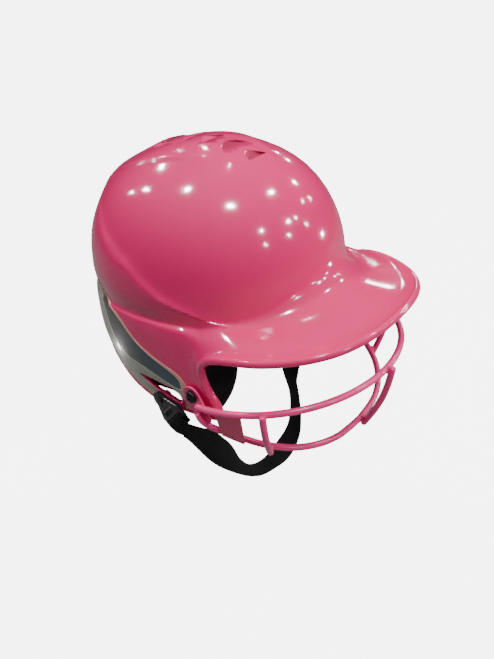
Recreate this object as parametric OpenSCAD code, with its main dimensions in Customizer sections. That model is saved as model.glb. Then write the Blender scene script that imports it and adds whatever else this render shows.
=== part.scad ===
// Batting helmet with a wire face mask, foam padding and a hanging chin strap.
// Millimetres. +Z is up, the bill points along -Y, the wearer's right is -X.
// The origin is the middle of the head, level with the brow.

/* [Shell] */
// outside width over the ears
shell_width = 208; // [198:1:220]
// bill tip to the back of the shell
shell_length = 306; // [292:1:324]
// crown to the bottom of the ear flaps
shell_height = 203; // [192:1:216]
// thickness of the moulded shell
wall = 3.0; // [2.6:0.1:3.6]
// radius of the rolled edge round bill and face opening
bead_r = 3.1; // [2.6:0.1:3.6]
// how far the crown ridge stands above the side panels
crest_step = 2.2; // [1.4:0.1:3]
// depth of the three-cornered scoops in the crown
scoop_depth = 2.4; // [1.6:0.1:3]
// length of the teardrop ear hole
ear_hole_len = 46; // [38:1:50]

/* [Face mask] */
// diameter of the mask wire
wire_d = 5.6; // [5:0.1:6.2]
// how far the struts stand past the bars
strut_over = 4; // [2:0.5:6]
// width of the cheek plates along the bars
cheek_w = 22; // [16:1:25]
// thickness of cheek plates and mounting tabs
plate_t = 1.6; // [1.2:0.1:2]

/* [Hardware] */
// clip screw thread diameter
screw_d = 5; // [4:0.5:6]
// clip screw head diameter
head_d = 10.6; // [9:0.2:12]
// clearance between a screw or stud and its hole
hole_gap = 0.3; // [0.15:0.05:0.5]
// snap stud post diameter
stud_d = 4; // [3.4:0.1:4.6]

/* [Padding] */
// thickness of the head pads
pad_t = 12; // [9:0.5:14]
// thickness of the jaw pads
jaw_t = 30; // [24:1:32]
// gap left for glue between pad and shell
pad_gap = 0.7; // [0.5:0.05:1]

/* [Chin strap] */
// width of the webbing
strap_w = 25; // [20:1:26]
// thickness of the webbing
strap_t = 1.6; // [1.2:0.1:2]
// how far the loop hangs below the snaps
strap_drop = 172; // [150:2:190]

/* [Hidden] */
$fn = 48;

kx = shell_width / 208;
ky = shell_length / 306;
kz = shell_height / 203;
function S(p) = [p[0] * kx, p[1] * ky, p[2] * kz];
function mx(p) = [-p[0], p[1], p[2]];
function lerp(a, b, t) = a + (b - a) * t;
function clamp(x, a, b) = min(max(x, a), b);
function smooth(x) = let (c = clamp(x, 0, 1)) c * c * (3 - 2 * c);
function unit(v) = v / max(norm(v), 1e-9);
function cr4(a, b, c, d, t) = 0.5 * (2 * b + (c - a) * t
    + (2 * a - 5 * b + 4 * c - d) * t * t + (3 * b - a - 3 * c + d) * t * t * t);

// Dome: half axes to the side, front, back and top, the centre, and how square it is.
RX = 101.5;
RYF = 112.1;
RYR = 122.9;
RZ = 100.1;
YC = 1.3;
ZC = -0.6;
plan_n = 2.06;
rise_n = 2.18;
// The skirt below the dome has its own centre.
YS = 4.2;
panel_in = 0.8;

// One row per key column, from the bill tip round to the back:
// dome angle, rim point x y z, height of the dome's foot, share of side shape, crest edge cosine.
KEY = [
    [0, 0, -175.7, -15.1, 18, 0, 0.50], [12, 33.3, -172, -16.3, 12, 0, 0.50],
    [24, 59.3, -161, -18.8, 4, 0, 0.465], [35, 79.8, -142.6, -21.6, -4, 0, 0.385],
    [45, 95.2, -118.8, -23.9, -6, 0.12, 0.345], [51, 102, -99.8, -25.3, -4, 0.35, 0.335],
    [55, 104.2, -85, -28, -1, 0.55, 0.332], [58, 103.9, -75, -32, 1, 0.72, 0.331],
    [60.5, 102.6, -68, -37.5, 3, 0.85, 0.331], [63, 101.2, -65, -45, 5, 0.95, 0.331],
    [65.5, 100.6, -66, -54, 6.5, 1, 0.331], [68, 100.3, -70, -63, 8, 1, 0.331],
    [70.5, 100, -75.5, -72, 10, 1, 0.331], [73, 99.3, -76, -82, 12, 1, 0.331],
    [75.5, 98.3, -69, -90.5, 14, 1, 0.331], [79, 97.6, -55, -94.5, 18, 1, 0.332],
    [84, 97.5, -36, -98, 24, 1, 0.333], [90, 97.3, -15, -100.5, 33, 1, 0.34],
    [97, 97, 6, -101.5, 38, 1, 0.355], [106, 93.6, 36, -95.5, 46, 1, 0.385],
    [120, 83, 67, -89.5, 57, 1, 0.45], [135, 69.1, 93.9, -86.7, 64, 1, 0.585],
    [150, 48.9, 114, -82.6, 70, 1, 0.66], [165, 25.3, 126.7, -79.6, 71, 1, 0.64],
    [180, 0, 131, -78.5, 71, 1, 0.64]];
NK = len(KEY) - 1;

// Catmull-Rom over key columns; past either end the helmet mirrors itself.
function kidx(i) = i < 0 ? -i : i > NK ? 2 * NK - i : i;
function kval(c, i) = KEY[kidx(i)][c];
function kth(i) = i < 0 ? -KEY[-i][0] : i > NK ? 360 - KEY[2 * NK - i][0] : KEY[i][0];
function kscal(c, u) = let (i = min(floor(u), NK - 1), t = u - i)
    cr4(kval(c, i - 1), kval(c, i), kval(c, i + 1), kval(c, i + 2), t);
function theta(u) = let (i = min(floor(u), NK - 1), t = u - i)
    cr4(kth(i - 1), kth(i), kth(i + 1), kth(i + 2), t);
function kpt(T, r, i) = i < 0 ? mx(T[-i][r]) : i > NK ? mx(T[2 * NK - i][r]) : T[i][r];
function kpoint(T, r, u) = let (i = clamp(floor(u), 0, NK - 1), t = u - i)
    cr4(kpt(T, r, i - 1), kpt(T, r, i), kpt(T, r, i + 1), kpt(T, r, i + 2), t);

// A point on the dome at azimuth th and elevation phi, pushed out by off.
function plan_k(th) = pow(pow(abs(sin(th)), plan_n) + pow(abs(cos(th)), plan_n), -1 / plan_n);
function ry(th) = cos(th) > 0 ? RYF : RYR;
function dome_ring(th, z, w, dw, dl) = let (k = plan_k(th))
    [(RX * w + dw) * k * sin(th), YC - (ry(th) * w + dl) * k * cos(th), z];
function dome(th, phi, off) = let (w = pow(abs(cos(phi)), 2 / rise_n), h = sign(phi)
    * pow(abs(sin(phi)), 2 / rise_n))
    dome_ring(th, ZC + (RZ + off) * h, w, off * w, off * w);
// Width of the dome at height z, as a share of its half axes.
function zcos(z) = pow(max(1 - pow(abs(z - ZC) / RZ, rise_n), 0.02), 1 / rise_n);
function foot(z) = sign(z - ZC) * asin(pow(abs(z - ZC) / RZ, rise_n / 2));
function foot_phi(u) = foot(kscal(4, u));
// The rear of the shell has no side panel, so the recess fades out there.
function panel_off(th) = th < 100 ? lerp(0.8, -panel_in, smooth((th - 45) / 35))
    : lerp(-panel_in, crest_step - panel_in, smooth((th - 136) / 14));

// The skirt is squarer in front of the ears than behind them: q is its plan exponent there.
function ring_pt(w, l, th, z, q) = let (n = cos(th) > 0 ? q : 2,
        k = pow(pow(abs(sin(th)), n) + pow(abs(cos(th)), n), -1 / n))
    [w * k * sin(th), YS - l * k * cos(th), z];
SQ = [2.22, 2.7, 3.3];
BF = [0.05, 0.12, 0.2, 0.34, 0.52, 0.77];
BG = [0.27, 0.45, 0.58, 0.70, 0.80, 0.91];
BH = [0.27, 0.40, 0.46, 0.50, 0.56, 0.72];
function bill_drop(i, th) = lerp(BG[i - 1], BH[i - 1], smooth((th - 24) / 20));
SH = [0, 0.04, 0.09, 0.2, 0.28];
// Middle ring of each column, as azimuth and height. Columns 8 to 16 end on the flap's
// front edge, so they fan out from down to forward without crossing.
FAN = [[61.9, -27.5], [64.7, -36], [65.95, -44.5], [66.4, -53], [66.7, -59.5], [67.8, -64.5], [69.6, -67.5],
    [72.4, -66], [77, -62.5]];
function middle(k, th, te, ze) = k >= 8 && k <= 16 ? FAN[k - 8] : [lerp(th, te, 0.68), lerp(-20, ze, 0.52)];
// Azimuth and height of the control rings 1 to 6 on the side of the shell, below a foot at height zd.
function side_ring(k, th, te, zd, ze) =
    let (z = [zd - 6, lerp(zd, -13, 0.36), lerp(zd, -13, 0.7), -13, -20])
    [for (i = [0:4]) [lerp(th, te, SH[i]), z[i]], middle(k, th, te, ze)];
// Outer control column at key k: dome foot, ridge, band, crease, flare, middle, rim.
function outer_key(k) = let (K = KEY[k], th = K[0], E = [K[1], K[2], K[3]], zd = K[4], ws = K[5],
        D = dome(th, foot(zd), panel_off(th)),
        te = atan2(E[0] / 104, -(E[1] - YS) / 127), R = side_ring(k, th, te, zd, E[2]),
        ridge = lerp(2.3, -0.7, smooth((th - 105) / 33)),
        skirt = [[100.4, 120.5], [103.6, 123], [104.2, 127.5]])
    [for (i = [0:7]) i == 0 ? D : i == 7 ? E :
        let (b = [lerp(D[0], E[0], BF[i - 1]), lerp(D[1], E[1], BF[i - 1]),
            lerp(zd, E[2], bill_drop(i, th))],
            t = R[i - 1][0], z = R[i - 1][1],
            s = i < 4 ? dome_ring(t, z, zcos(z), ridge * (1.3 - 0.3 * i), ridge * (0.9 + 0.1 * i))
                : ring_pt(skirt[i - 4][0], skirt[i - 4][1], t, z, SQ[i - 4]))
        b * (1 - ws) + s * ws];
// Inner control column: the same walk without ridge and crease, one wall further in.
function inner_key(k) = let (K = KEY[k], th = K[0], E = [K[1], K[2], K[3]], zd = K[4], ws = K[5],
        D = dome(th, foot(zd), -panel_in - wall),
        te = atan2(E[0] / 104, -(E[1] - YS) / 127), R = side_ring(k, th, te, zd, E[2]), in = -panel_in
            - wall,
        skirt = [[99.4 - wall, 118.5 - wall], [100.6 - wall, 120.3 - wall], [103 - wall, 126.3 - wall]])
    [for (i = [0:7]) i == 0 ? D : i == 7 ? E :
        let (b = [lerp(D[0], E[0], BF[i - 1]), lerp(D[1], E[1], BF[i - 1]),
                lerp(zd, E[2], bill_drop(i, th)) - wall * (0.45 + 0.55 * i / 6)]
                + wall * (1 - bill_drop(i, th)) * [-sin(th), cos(th), 0],
            t = R[i - 1][0], z = R[i - 1][1],
            s = i < 4 ? dome_ring(t, z, zcos(z), in, in)
                : ring_pt(skirt[i - 4][0], skirt[i - 4][1], t, z, SQ[i - 4]))
        b * (1 - ws) + s * ws];
OUT = [for (k = [0:NK]) outer_key(k)];
INN = [for (k = [0:NK]) inner_key(k)];

function rim_r(u) = lerp(bead_r, bead_r * 0.75, smooth((u - 14.5) / 2.5));
// Frame on the rim: point, direction out of the sheet, outward normal.
RIM = 7;
function rim_frame(u) = let (E = kpoint(OUT, RIM, u), P = kpoint(OUT, RIM - 1, u),
        R = unit(kpoint(OUT, RIM, min(u + 0.06, NK)) - kpoint(OUT, RIM, max(u - 0.06, 0))),
        t0 = E - P, T = unit(t0 - (t0 * R) * R))
    [E, T, unit(cross(T, R))];
function rim_q(u, side) = let (f = rim_frame(u)) f[0] - 2.3 * bead_r * f[1] + side * wall / 2 * f[2];
// Point v along the control column: 0 is the dome's foot, RIM is where the rim bead starts.
function colpt(T, u, v, side) = let (i = clamp(floor(v), 0, RIM - 1), t = v - i,
        g = function(j) j < 0 ? dome(theta(u), foot_phi(u) + 6, side > 0 ? panel_off(theta(u))
            : -panel_in - wall)
            : j > RIM ? 2 * rim_q(u, side) - kpoint(T, RIM - 1, u)
            : j == RIM ? rim_q(u, side) : kpoint(T, j, u))
    cr4(g(i - 1), g(i), g(i + 1), g(i + 2), t);
function outer(u, v) = colpt(OUT, u, v, 1);
function inner(u, v) = colpt(INN, u, v, -1);

// Outer dome rings above the foot, with the raised crest inside cosine hi.
function dome_rings(u) = let (th = theta(u), pf = foot_phi(u), ph = acos(clamp(kscal(6, u), 0.05, 0.9)),
        d = lerp(5, 2.1, smooth(th / 26)), top = crest_step - panel_in,
        lo = lerp(top * 0.7, panel_off(th), smooth(th / 30)))
    [dome(th, 90 - (90 - ph - d) * 0.5, top), dome(th, ph + d, top),
        dome(th, ph + d * 0.25, lerp(top, lo, 0.28)),
        dome(th, ph - d * 0.45, lerp(top, lo, 0.86)), dome(th, ph - d, lo),
        for (f = [0.19, 0.38, 0.57, 0.76, 0.9]) dome(th, lerp(ph - d, pf, f), lerp(lo, panel_off(th), f))];
VO = [0, 0.5, 1, 1.5, 2, 2.6, 3.2, 3.7, 4, 4.3, 4.7, 5, 5.35, 5.7, 6, 6.5, 7];
VI = [7, 6.4, 5.7, 5, 4, 3.4, 2.8, 2.2, 1.6, 1.1, 0.5, 0];
VD = [0.1, 0.2, 0.3, 0.41, 0.52, 0.63, 0.75, 0.87];
function column(u) = let (f = rim_frame(u), r = rim_r(u), c = f[0] - r * f[1])
    [for (p = dome_rings(u)) S(p), for (v = VO) S(outer(u, v)),
        for (a = [110, 55, 0, -55, -110]) S(c + r * (cos(a) * f[1] + sin(a) * f[2])),
        for (v = VI) S(inner(u, v)),
        for (f = VD) S(dome(theta(u), lerp(foot_phi(u), 90, f), -panel_in - wall))];
US = [for (k = [0:NK - 1]) let (n = k < 1 ? 3 : k < 5 ? 2 : k < 8 ? 1 : k < 9 ? 2
            : k < 13 ? 1 : k < 14 ? 2 : k < 17 ? 1 : k < 19 ? 2 : 3)
        for (s = [0:n - 1]) k + s / n, NK];
HALF = [for (u = US) column(u)];
NH = len(US) - 1;
LOOP = [for (i = [0:NH]) HALF[i], for (i = [NH - 1:-1:1]) [for (p = HALF[i]) mx(p)]];

// Closed skin round the shell: rings run down each column, poles close both ends.
module lathe(L, top, bottom) {
    n = len(L);
    m = len(L[0]);
    pts = [top, bottom, for (c = L) for (p = c) p];
    faces = [for (j = [0:n - 1]) let (k = (j + 1) % n, a = 2 + j * m, b = 2 + k * m)
        each [[0, a, b], [1, b + m - 1, a + m - 1],
            for (i = [0:m - 2]) each [[a + i, a + i + 1, b + i], [b + i, a + i + 1, b + i + 1]]]];
    polyhedron(pts, [for (f = faces) [f[0], f[2], f[1]]]);
}

// Sheet between two grids of the same size, closed all round.
module slab(A, B) {
    r = len(A);
    c = len(A[0]);
    o = r * c;
    pts = [for (row = A) for (p = row) p, for (row = B) for (p = row) p];
    g = [for (i = [0:r - 2]) for (j = [0:c - 2]) let (a = i * c + j, b = a + c)
        each [[a, b, a + 1], [a + 1, b, b + 1], [o + a, o + a + 1, o + b], [o + a + 1, o + b + 1, o + b]]];
    s = [for (i = [0:r - 2]) let (a = i * c, b = a + c, e = a + c - 1, f = e + c)
        each [[a, o + a, b], [b, o + a, o + b], [e, f, o + e], [f, o + f, o + e]]];
    t = [for (j = [0:c - 2]) let (q = (r - 1) * c + j)
        each [[j, j + 1, o + j], [j + 1, o + j + 1, o + j], [q, o + q, q + 1], [q + 1, o + q, o + q + 1]]];
    polyhedron(pts, concat(g, s, t));
}

// Round wire along a path of points, its facets turned towards a point inside the mask.
CAGE_HUB = [0, -60, -60];
function path_dir(P, i) = unit(P[min(i + 1, len(P) - 1)] - P[max(i - 1, 0)]);
function wire_ring(P, i, r, n) =
    let (t = path_dir(P, i), a = unit(cross(t, P[i] - CAGE_HUB)), b = cross(t, a))
    [for (k = [0:n - 1]) P[i] + r * (cos(360 * k / n) * a + sin(360 * k / n) * b)];
module wire(P, d, n = 12) {
    m = len(P);
    pts = [for (i = [0:m - 1]) for (p = wire_ring(P, i, d / 2, n)) p];
    side = [for (i = [0:m - 2]) for (k = [0:n - 1]) let (a = i * n + k, b = i * n + (k + 1) % n)
        each [[a, a + n, b], [b, a + n, b + n]]];
    polyhedron(pts, concat(side, [[for (k = [0:n - 1]) k]], [[for (k = [n - 1:-1:0]) (m - 1) * n + k]]));
}
function spline(Q, n) = let (m = len(Q))
    [for (i = [0:m - 2]) for (s = [0:n - 1])
        cr4(i == 0 ? 2 * Q[0] - Q[1] : Q[i - 1], Q[i], Q[i + 1], i + 2 < m ? Q[i + 2] : 2 * Q[m - 1]
            - Q[m - 2], s / n),
        Q[m - 1]];
function mirror_path(P) = concat([for (i = [len(P) - 1:-1:1]) mx(P[i])], P);

// Places on the flap that the hardware shares, as y and z, and the wall there.
screw_p = [-50 * ky, -71 * kz];
stud_p = [-8 * ky, -92.5 * kz];
flap_out = 103.1 * kx;
flap_in = 97.2 * kx;
nut_seat = 97.9 * kx;
washer_t = 0.7;
tab_x = flap_out + washer_t;
wire_x = tab_x + plate_t + wire_d / 2 - 0.3;
barrel_d = screw_d + 1.8;

module ear_cut() {
    hull() {
        for (p = [[-25.5, -82.5, 7], [-25.5 + ear_hole_len * 0.45, -79.5, 5.6],
            [-33 + ear_hole_len, -74.6, 1.2]])
            translate([-(70 * kx), p[0] * ky, p[1] * kz]) rotate([0, -90, 0]) cylinder(r = p[2],
                h = 50, $fn = 28);
    }
}
// Three-cornered scoop across the crown, deepest along its straight front edge.
module scoop(y, w, len) {
    l = y < YC ? RYF : RYR;
    z = dome(y < YC ? 0 : 180, acos(pow(abs(y - YC) / l, rise_n / 2)), crest_step - panel_in)[2];
    tilt = -atan2(RZ * (y - YC) / l, l * z / RZ);
    translate(S([0, y, z])) rotate([tilt, 0, 0]) hull() {
        for (s = [-1, 1]) translate([s * w, 0, 0]) cylinder(r = 0.7, h = 6, center = true, $fn = 10);
        for (s = [-1, 1]) translate([s * w * 0.55, 1, -scoop_depth]) sphere(r = 0.6, $fn = 10);
        translate([0, len, 3]) cylinder(r = 0.8, h = 6, center = true, $fn = 10);
        translate([0, len * 0.75, -scoop_depth * 0.3]) sphere(r = 0.6, $fn = 10);
    }
}
SCOOPS = [[-53, 9.5, 8], [-31, 12.5, 9], [-8, 13.5, 9], [15, 13.5, 9], [38, 12.5, 9], [60, 10, 8]];
module shell() color([0.86, 0.27, 0.45]) difference() {
    lathe(LOOP, S([0, YC, ZC + RZ + crest_step - panel_in]), S([0, YC, ZC + RZ - panel_in - wall]));
    ear_cut();
    mirror([1, 0, 0]) ear_cut();
    for (s = SCOOPS) scoop(s[0], s[1], s[2]);
    for (m = [0, 1]) mirror([m, 0, 0]) {
        translate([-120 * kx, screw_p[0], screw_p[1]]) rotate([0, 90, 0]) cylinder(d = barrel_d + 2
            * hole_gap, h = 40 * kx);
        translate([-120 * kx, stud_p[0], stud_p[1]]) rotate([0, 90, 0]) cylinder(d = stud_d + 2
            * hole_gap, h = 40 * kx);
    }
}

// Side decal: a swoosh from the flap up to a point at the back of the shell.
DU = [[15.7, 6.72], [15.85, 6.35], [16.4, 6], [17.1, 5.62], [18.3, 5.2], [19.6, 3.7], [20.5, 3.2],
    [21.4, 2.85]];
DL = [[15.7, 6.82], [16.6, 6.86], [17.6, 6.86], [18.6, 6.86], [19.6, 6.8], [20.5, 6.5], [21, 5.4],
    [21.55, 3.3]];
function decal_uv(a, b) = let (n = len(DU) - 1, i = min(floor(a * n), n - 1), t = a * n - i,
        f = function(L) cr4(i == 0 ? 2 * L[0] - L[1] : L[i - 1], L[i], L[i + 1], i + 2 > n ? 2 * L[n]
            - L[n - 1] : L[i + 2], t))
    lerp(f(DL), f(DU), b);
function surf_n(u, v) = unit(cross(S(outer(u, v + 0.05)) - S(outer(u, v - 0.05)), S(outer(u + 0.05, v))
    - S(outer(u - 0.05, v))));
function decal_pt(a, b, off) = let (q = decal_uv(a, b)) S(outer(q[0], q[1])) + off * surf_n(q[0], q[1]);
module decal() {
    n = 24;
    m = 6;
    slab([for (i = [0:n]) [for (j = [0:m]) decal_pt(i / n, j / m, 0.4)]],
        [for (i = [0:n]) [for (j = [0:m]) decal_pt(i / n, j / m, 0.75)]]);
}
module decal_left() color([0.42, 0.47, 0.5]) difference() { decal(); mirror([1, 0, 0]) ear_cut(); }
module decal_right() color([0.42, 0.47, 0.5]) mirror([1, 0, 0]) difference() { decal(); mirror([1, 0,
    0]) ear_cut(); }

// Face mask. Both bars run as half hoops between the mounting tabs.
PINK = [0.93, 0.33, 0.55];
bar_y = -56 * ky;
bar_z = -76.5 * kz;
bar_rise = 9.5;
bar_r = wire_x;
bar_tilt = asin(bar_rise / bar_r);
function upper_pt(a) = [bar_r * sin(a), bar_y - bar_r * cos(a) * cos(bar_tilt), bar_z + bar_r * cos(a)
    * sin(bar_tilt)];
module upper_bar() color(PINK) translate([0, bar_y, bar_z]) rotate([-bar_tilt, 0, 0]) rotate([0, 0, 180])
    rotate_extrude(angle = 180, $fn = 96) translate([bar_r, 0]) circle(d = wire_d, $fn = 24);
LB = [[wire_x / kx, -56.5, -83.2], [wire_x / kx - 1.2, -58.5, -90.5], [102, -64, -98.5],
    [95.2, -74.5, -105],
    [84.3, -97.1, -113.1], [70.4, -115.3, -119.4], [51.7, -128.8, -124.1], [28.8, -137.2, -127],
        [0, -140, -127.9]];
function lower_path() = mirror_path(spline([for (i = [8:-1:0]) S(LB[i])], 2));
module lower_bar() color(PINK) wire(lower_path(), wire_d, 10);
// Struts are welded to the outside of both bars, bow outward and stand past them.
side_strut_angle = 58.6;
strut_bow = 4.2;
weld_sink = 1;
module strut(A, B, out) {
    d = unit(B - A);
    n = unit(out);
    wire([for (i = [0:7]) let (t = i / 7) lerp(A - strut_over * d, B + (strut_over + 1) * d, t)
        + n * (wire_d - weld_sink + strut_bow * sin(180 * t))], wire_d, 10);
}
module centre_strut() color(PINK) strut(upper_pt(0), S(LB[8]), [0, -1, 0]);
module side_struts() color(PINK) for (m = [0, 1]) mirror([m, 0, 0])
    strut(upper_pt(side_strut_angle), S([79.7, -104.4, -115.7]),
        [sin(side_strut_angle), -cos(side_strut_angle), 0]);
// Cheek plate: flat sheet from under the upper bar to the outside of the lower bar.
module cheek() {
    A0 = upper_pt(80);
    A1 = upper_pt(80 - cheek_w * 57.3 / bar_r);
    B0 = S([99.6, -71.6, -103.8]);
    B1 = B0 + S([-7.6, -16.8, -7.8]) * cheek_w / 22;
    w = unit(A1 - A0);
    h = unit(B0 - A0);
    n = unit(cross(h, w)) * plate_t / 2;
    dz = [0, 0, -wire_d / 2 + 0.3];
    C = [for (i = [0:4]) let (a = i / 4) [for (j = [0:4]) let (b = j / 4)
        lerp(lerp(A0, A1, a), lerp(B0, B1, a), b) + dz * (1 - b)]];
    slab([for (r = C) [for (p = r) p + n]], [for (r = C) [for (p = r) p - n]]);
}
module cheek_plate_left() color(PINK) cheek();
module cheek_plate_right() color(PINK) mirror([1, 0, 0]) cheek();

// Outline of two joined discs, as points.
function twin(p, r, q, s, n) =
    let (d = norm(q - p), b = atan2(q[1] - p[1], q[0] - p[0]), g = acos((r - s) / d))
    [for (i = [0:n]) let (a = b + g + (360 - 2 * g) * i / n) p + r * [cos(a), sin(a)],
        for (i = [0:n]) let (a = b - g + 2 * g * i / n) q + s * [cos(a), sin(a)]];
// Stand a y-z outline up as a plate from x to x + t on the left side.
module side_plate(x, t) translate([x, 0, 0]) rotate([90, 0, 90]) linear_extrude(height = t) children();
tab_top_r = 9.2;
tab_low_r = 8.4;
tab_low = [-9, -15.5];
module tab() difference() {
    side_plate(tab_x, plate_t) polygon(twin(screw_p, tab_top_r, screw_p + tab_low, tab_low_r, 16));
    translate([tab_x - 1, screw_p[0], screw_p[1]]) rotate([0, 90, 0]) cylinder(d = screw_d + 2
        * hole_gap, h = plate_t + 2);
}
module tab_left() color(PINK) tab();
module tab_right() color(PINK) mirror([1, 0, 0]) tab();

washer_r = 6.6;
nut_flange_r = 7;
nut_barrel = 3.6;
module both() for (m = [0, 1]) mirror([m, 0, 0]) children();
nut_t = 1.2;
module clip_screws() color([0.05, 0.05, 0.06]) both() translate([0, screw_p[0], screw_p[1]]) difference() {
    rotate([0, 90, 0]) union() {
        translate([0, 0, tab_x + plate_t]) rotate_extrude()
            polygon([[0, 0], [head_d / 2, 0], [head_d / 2, 1.2], [head_d / 2 - 0.7, 2.2],
                [head_d / 2 - 2, 2.9], [0, 3.3]]);
        translate([0, 0, nut_seat - 2]) cylinder(d = screw_d, h = tab_x + plate_t - nut_seat + 2.5);
    }
    for (a = [0, 90]) rotate([a, 0, 0]) translate([tab_x + plate_t + 3.5, 0, 0]) cube([3, 1.1, 5.2],
        center = true);
}
module clip_washers() color([0.1, 0.1, 0.1]) both() translate([flap_out + 0.1, screw_p[0], screw_p[1]])
    rotate([0, 90, 0]) difference() {
        cylinder(r = washer_r, h = washer_t - 0.1);
        translate([0, 0, -1]) cylinder(d = screw_d + 2 * hole_gap, h = washer_t + 2);
    }
// Flanged nut: the flange bears on the inside of the flap, the barrel sits in its hole.
module clip_nuts() color([0.7, 0.7, 0.72]) both() translate([nut_seat - nut_t, screw_p[0], screw_p[1]])
    rotate([0, 90, 0]) difference() {
        union() { cylinder(r = nut_flange_r, h = nut_t); cylinder(d = barrel_d, h = nut_t + nut_barrel); }
        translate([0, 0, -1]) cylinder(d = screw_d + 0.2, h = 9);
    }

// Foam pads. A pad is a grid on the shell's inside, with a crowned inner face.
FOAM = [0.07, 0.07, 0.08];
function crown_of(a, b) = pow(max(1 - pow(abs(2 * a - 1), 3.2), 0), 0.5)
    * pow(max(1 - pow(abs(2 * b - 1), 3.2), 0), 0.5);
// Channels across the pad, cut at the given places along a.
function channel(a, C) = 1 - 0.42 * max([0, for (c = C) exp(-pow((a - c) / 0.035, 2))]);
function pad_th(a, b, t, C) = 1.6 + (t - 1.6) * crown_of(a, b) * channel(a, C);
module dome_pad(t0, t1, p0, p1, t, C, n = 16, m = 8) {
    f = function(a, b, o) let (e = 0.06 * o / 12, aa = lerp(e, 1 - e, a), bb = lerp(e, 1 - e, b))
        S(dome(lerp(t0, t1, aa), lerp(p0, p1, bb), -panel_in - wall - pad_gap - o));
    slab([for (i = [0:n]) [for (j = [0:m]) f(i / n, j / m, pad_th(i / n, j / m, t, C))]],
        [for (i = [0:n]) [for (j = [0:m]) f(i / n, j / m, 0)]]);
}
module front_pad() color(FOAM) dome_pad(-52, 52, 14, 48, pad_t, [0.2, 0.4, 0.6, 0.8], 20, 5);
module side_pad_left() color(FOAM) dome_pad(60, 121, 14, 56, pad_t, [1 / 3, 2 / 3], 12, 6);
module side_pad_right() color(FOAM) mirror([1, 0, 0]) side_pad_left();
module rear_pad() color(FOAM) dome_pad(129, 231, 6, 50, pad_t, [0.2, 0.4, 0.6, 0.8], 20, 5);
module crown_pad() color(FOAM) {
    n = 36;
    R = [1, 0.96, 0.84, 0.62, 0.35];
    o0 = -panel_in - wall - pad_gap;
    f = function(i, r, o) S(dome(360 * i / n, 90 - 27 * r * (1 - 0.07 * pow(sin(180 * i * 6 / n), 2)),
        o0 - o));
    T = function(i, r) 1.6 + (pad_t - 1.6) * pow(1 - pow(r, 4), 0.5)
        * (1 - 0.3 * exp(-pow(sin(180 * i * 6 / n) / 0.35, 2)) * smooth((r - 0.15) / 0.4));
    lathe([for (i = [0:n - 1]) [for (r = [0.35, 0.7, 1]) f(i, r, 0), for (r = R) f(i, r, T(i, r))]],
        S([0, YC, RZ + o0]), S([0, YC, RZ + o0 - pad_t]));
}
// Ear pads follow the wall: u runs round the helmet and v down the wall.
function in_n(u, v) = unit(cross(S(inner(u + 0.1, v)) - S(inner(u - 0.1, v)), S(inner(u, v + 0.1))
    - S(inner(u, v - 0.1))));
module ear_pad_left() color(FOAM) {
    n = 10;
    m = 5;
    f = function(a, b, o) let (e = 0.05 * o / pad_t, u = lerp(17.1, 19.7, lerp(e, 1 - e, a)),
            v = lerp(4.15, 5.8, lerp(e, 1 - e, b)))
        S(inner(u, v)) + (pad_gap + o) * in_n(u, v);
    slab([for (i = [0:n]) [for (j = [0:m]) f(i / n, j / m, 0)]],
        [for (i = [0:n]) [for (j = [0:m]) f(i / n, j / m, pad_th(i / n, j / m, pad_t, [0.5]))]]);
}
module ear_pad_right() color(FOAM) mirror([1, 0, 0]) ear_pad_left();
// Jaw pads are thick blocks behind the flap's front edge, cut back below for the ear hole.
function jaw_front(z) = -61 - 8 * smooth((-50 - z) / 24) - 7 * smooth((z + 44) / 16) + 10
    * smooth((-84 - z) / 9);
function jaw_back(z) = lerp(-14, -39, smooth((-48 - z) / 16));
function jaw_wall(y, z) = let (d = 1.2 * smooth((-48 - z) / 15))
    96.2 + d + (1.6 - d) * smooth((y + 52) / 30) - 0.12 * max(z + 45, 0) - 2.3 * smooth((-82 - z) / 8)
        - pad_gap
        - 1.8 * (1 - smooth((norm([y, z] - [-50, -71]) - 8) / 7));
module jaw_pad_left() color(FOAM) {
    n = 10;
    m = 10;
    top = -27;
    low = -89;
    bulge = function(a, b) pow(max(1 - pow(abs(2 * a - 1), 2.6), 0), 0.5)
        * pow(max(1 - pow(abs(2 * b - 1), 2.6), 0), 0.5);
    f = function(a, b, k) let (c = bulge(a, b), z = lerp(top, low, b) * (1 - k * 0.03) + k * 2 * (0.5 - b),
            y = lerp(jaw_front(z), jaw_back(z), a), o = k * (2 + (jaw_t - 2) * c))
        S([jaw_wall(y, z) - o, y - k * 8 * c * (1 - a), z]);
    slab([for (i = [0:n]) [for (j = [0:m]) f(i / n, j / m, 0)]],
        [for (i = [0:n]) [for (j = [0:m]) f(i / n, j / m, 1)]]);
}
module jaw_pad_right() color(FOAM) mirror([1, 0, 0]) jaw_pad_left();

// Chin strap. It swings about the two snap studs, which share one x axis.
// Each end piece hangs turned about its stud; positive is towards the back.
tilt_r = -48;
tilt_l = 13;
end_x = 102.5 * kx;
end_t = 3.4;
bar_d = 21;
bar_xc = end_x + end_t / 2;
slide_d = 60;
swing_gap = 0.1;
stud_flange_r = 4.2;
end_eye_r = 7.8;
end_margin = 3;
rod_r = 1.6;
rib_r = 0.8;
rib_step = 3.4;
rib_len = 5.6;
module snap_studs() color([0.1, 0.1, 0.11]) both() translate([0, stud_p[0], stud_p[1]]) rotate([0, 90,
    0]) union() {
    translate([0, 0, flap_in - 2.6]) cylinder(r = stud_flange_r, h = 1.1);
    translate([0, 0, flap_in - 1.6]) cylinder(d = stud_d, h = end_x + end_t - flap_in + 2.3);
    translate([0, 0, end_x + end_t + 0.3]) rotate_extrude() polygon([[0, 0], [3.6, 0], [3.6, 0.5],
        [2.6, 1.1], [0, 1.4]]);
}
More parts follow.
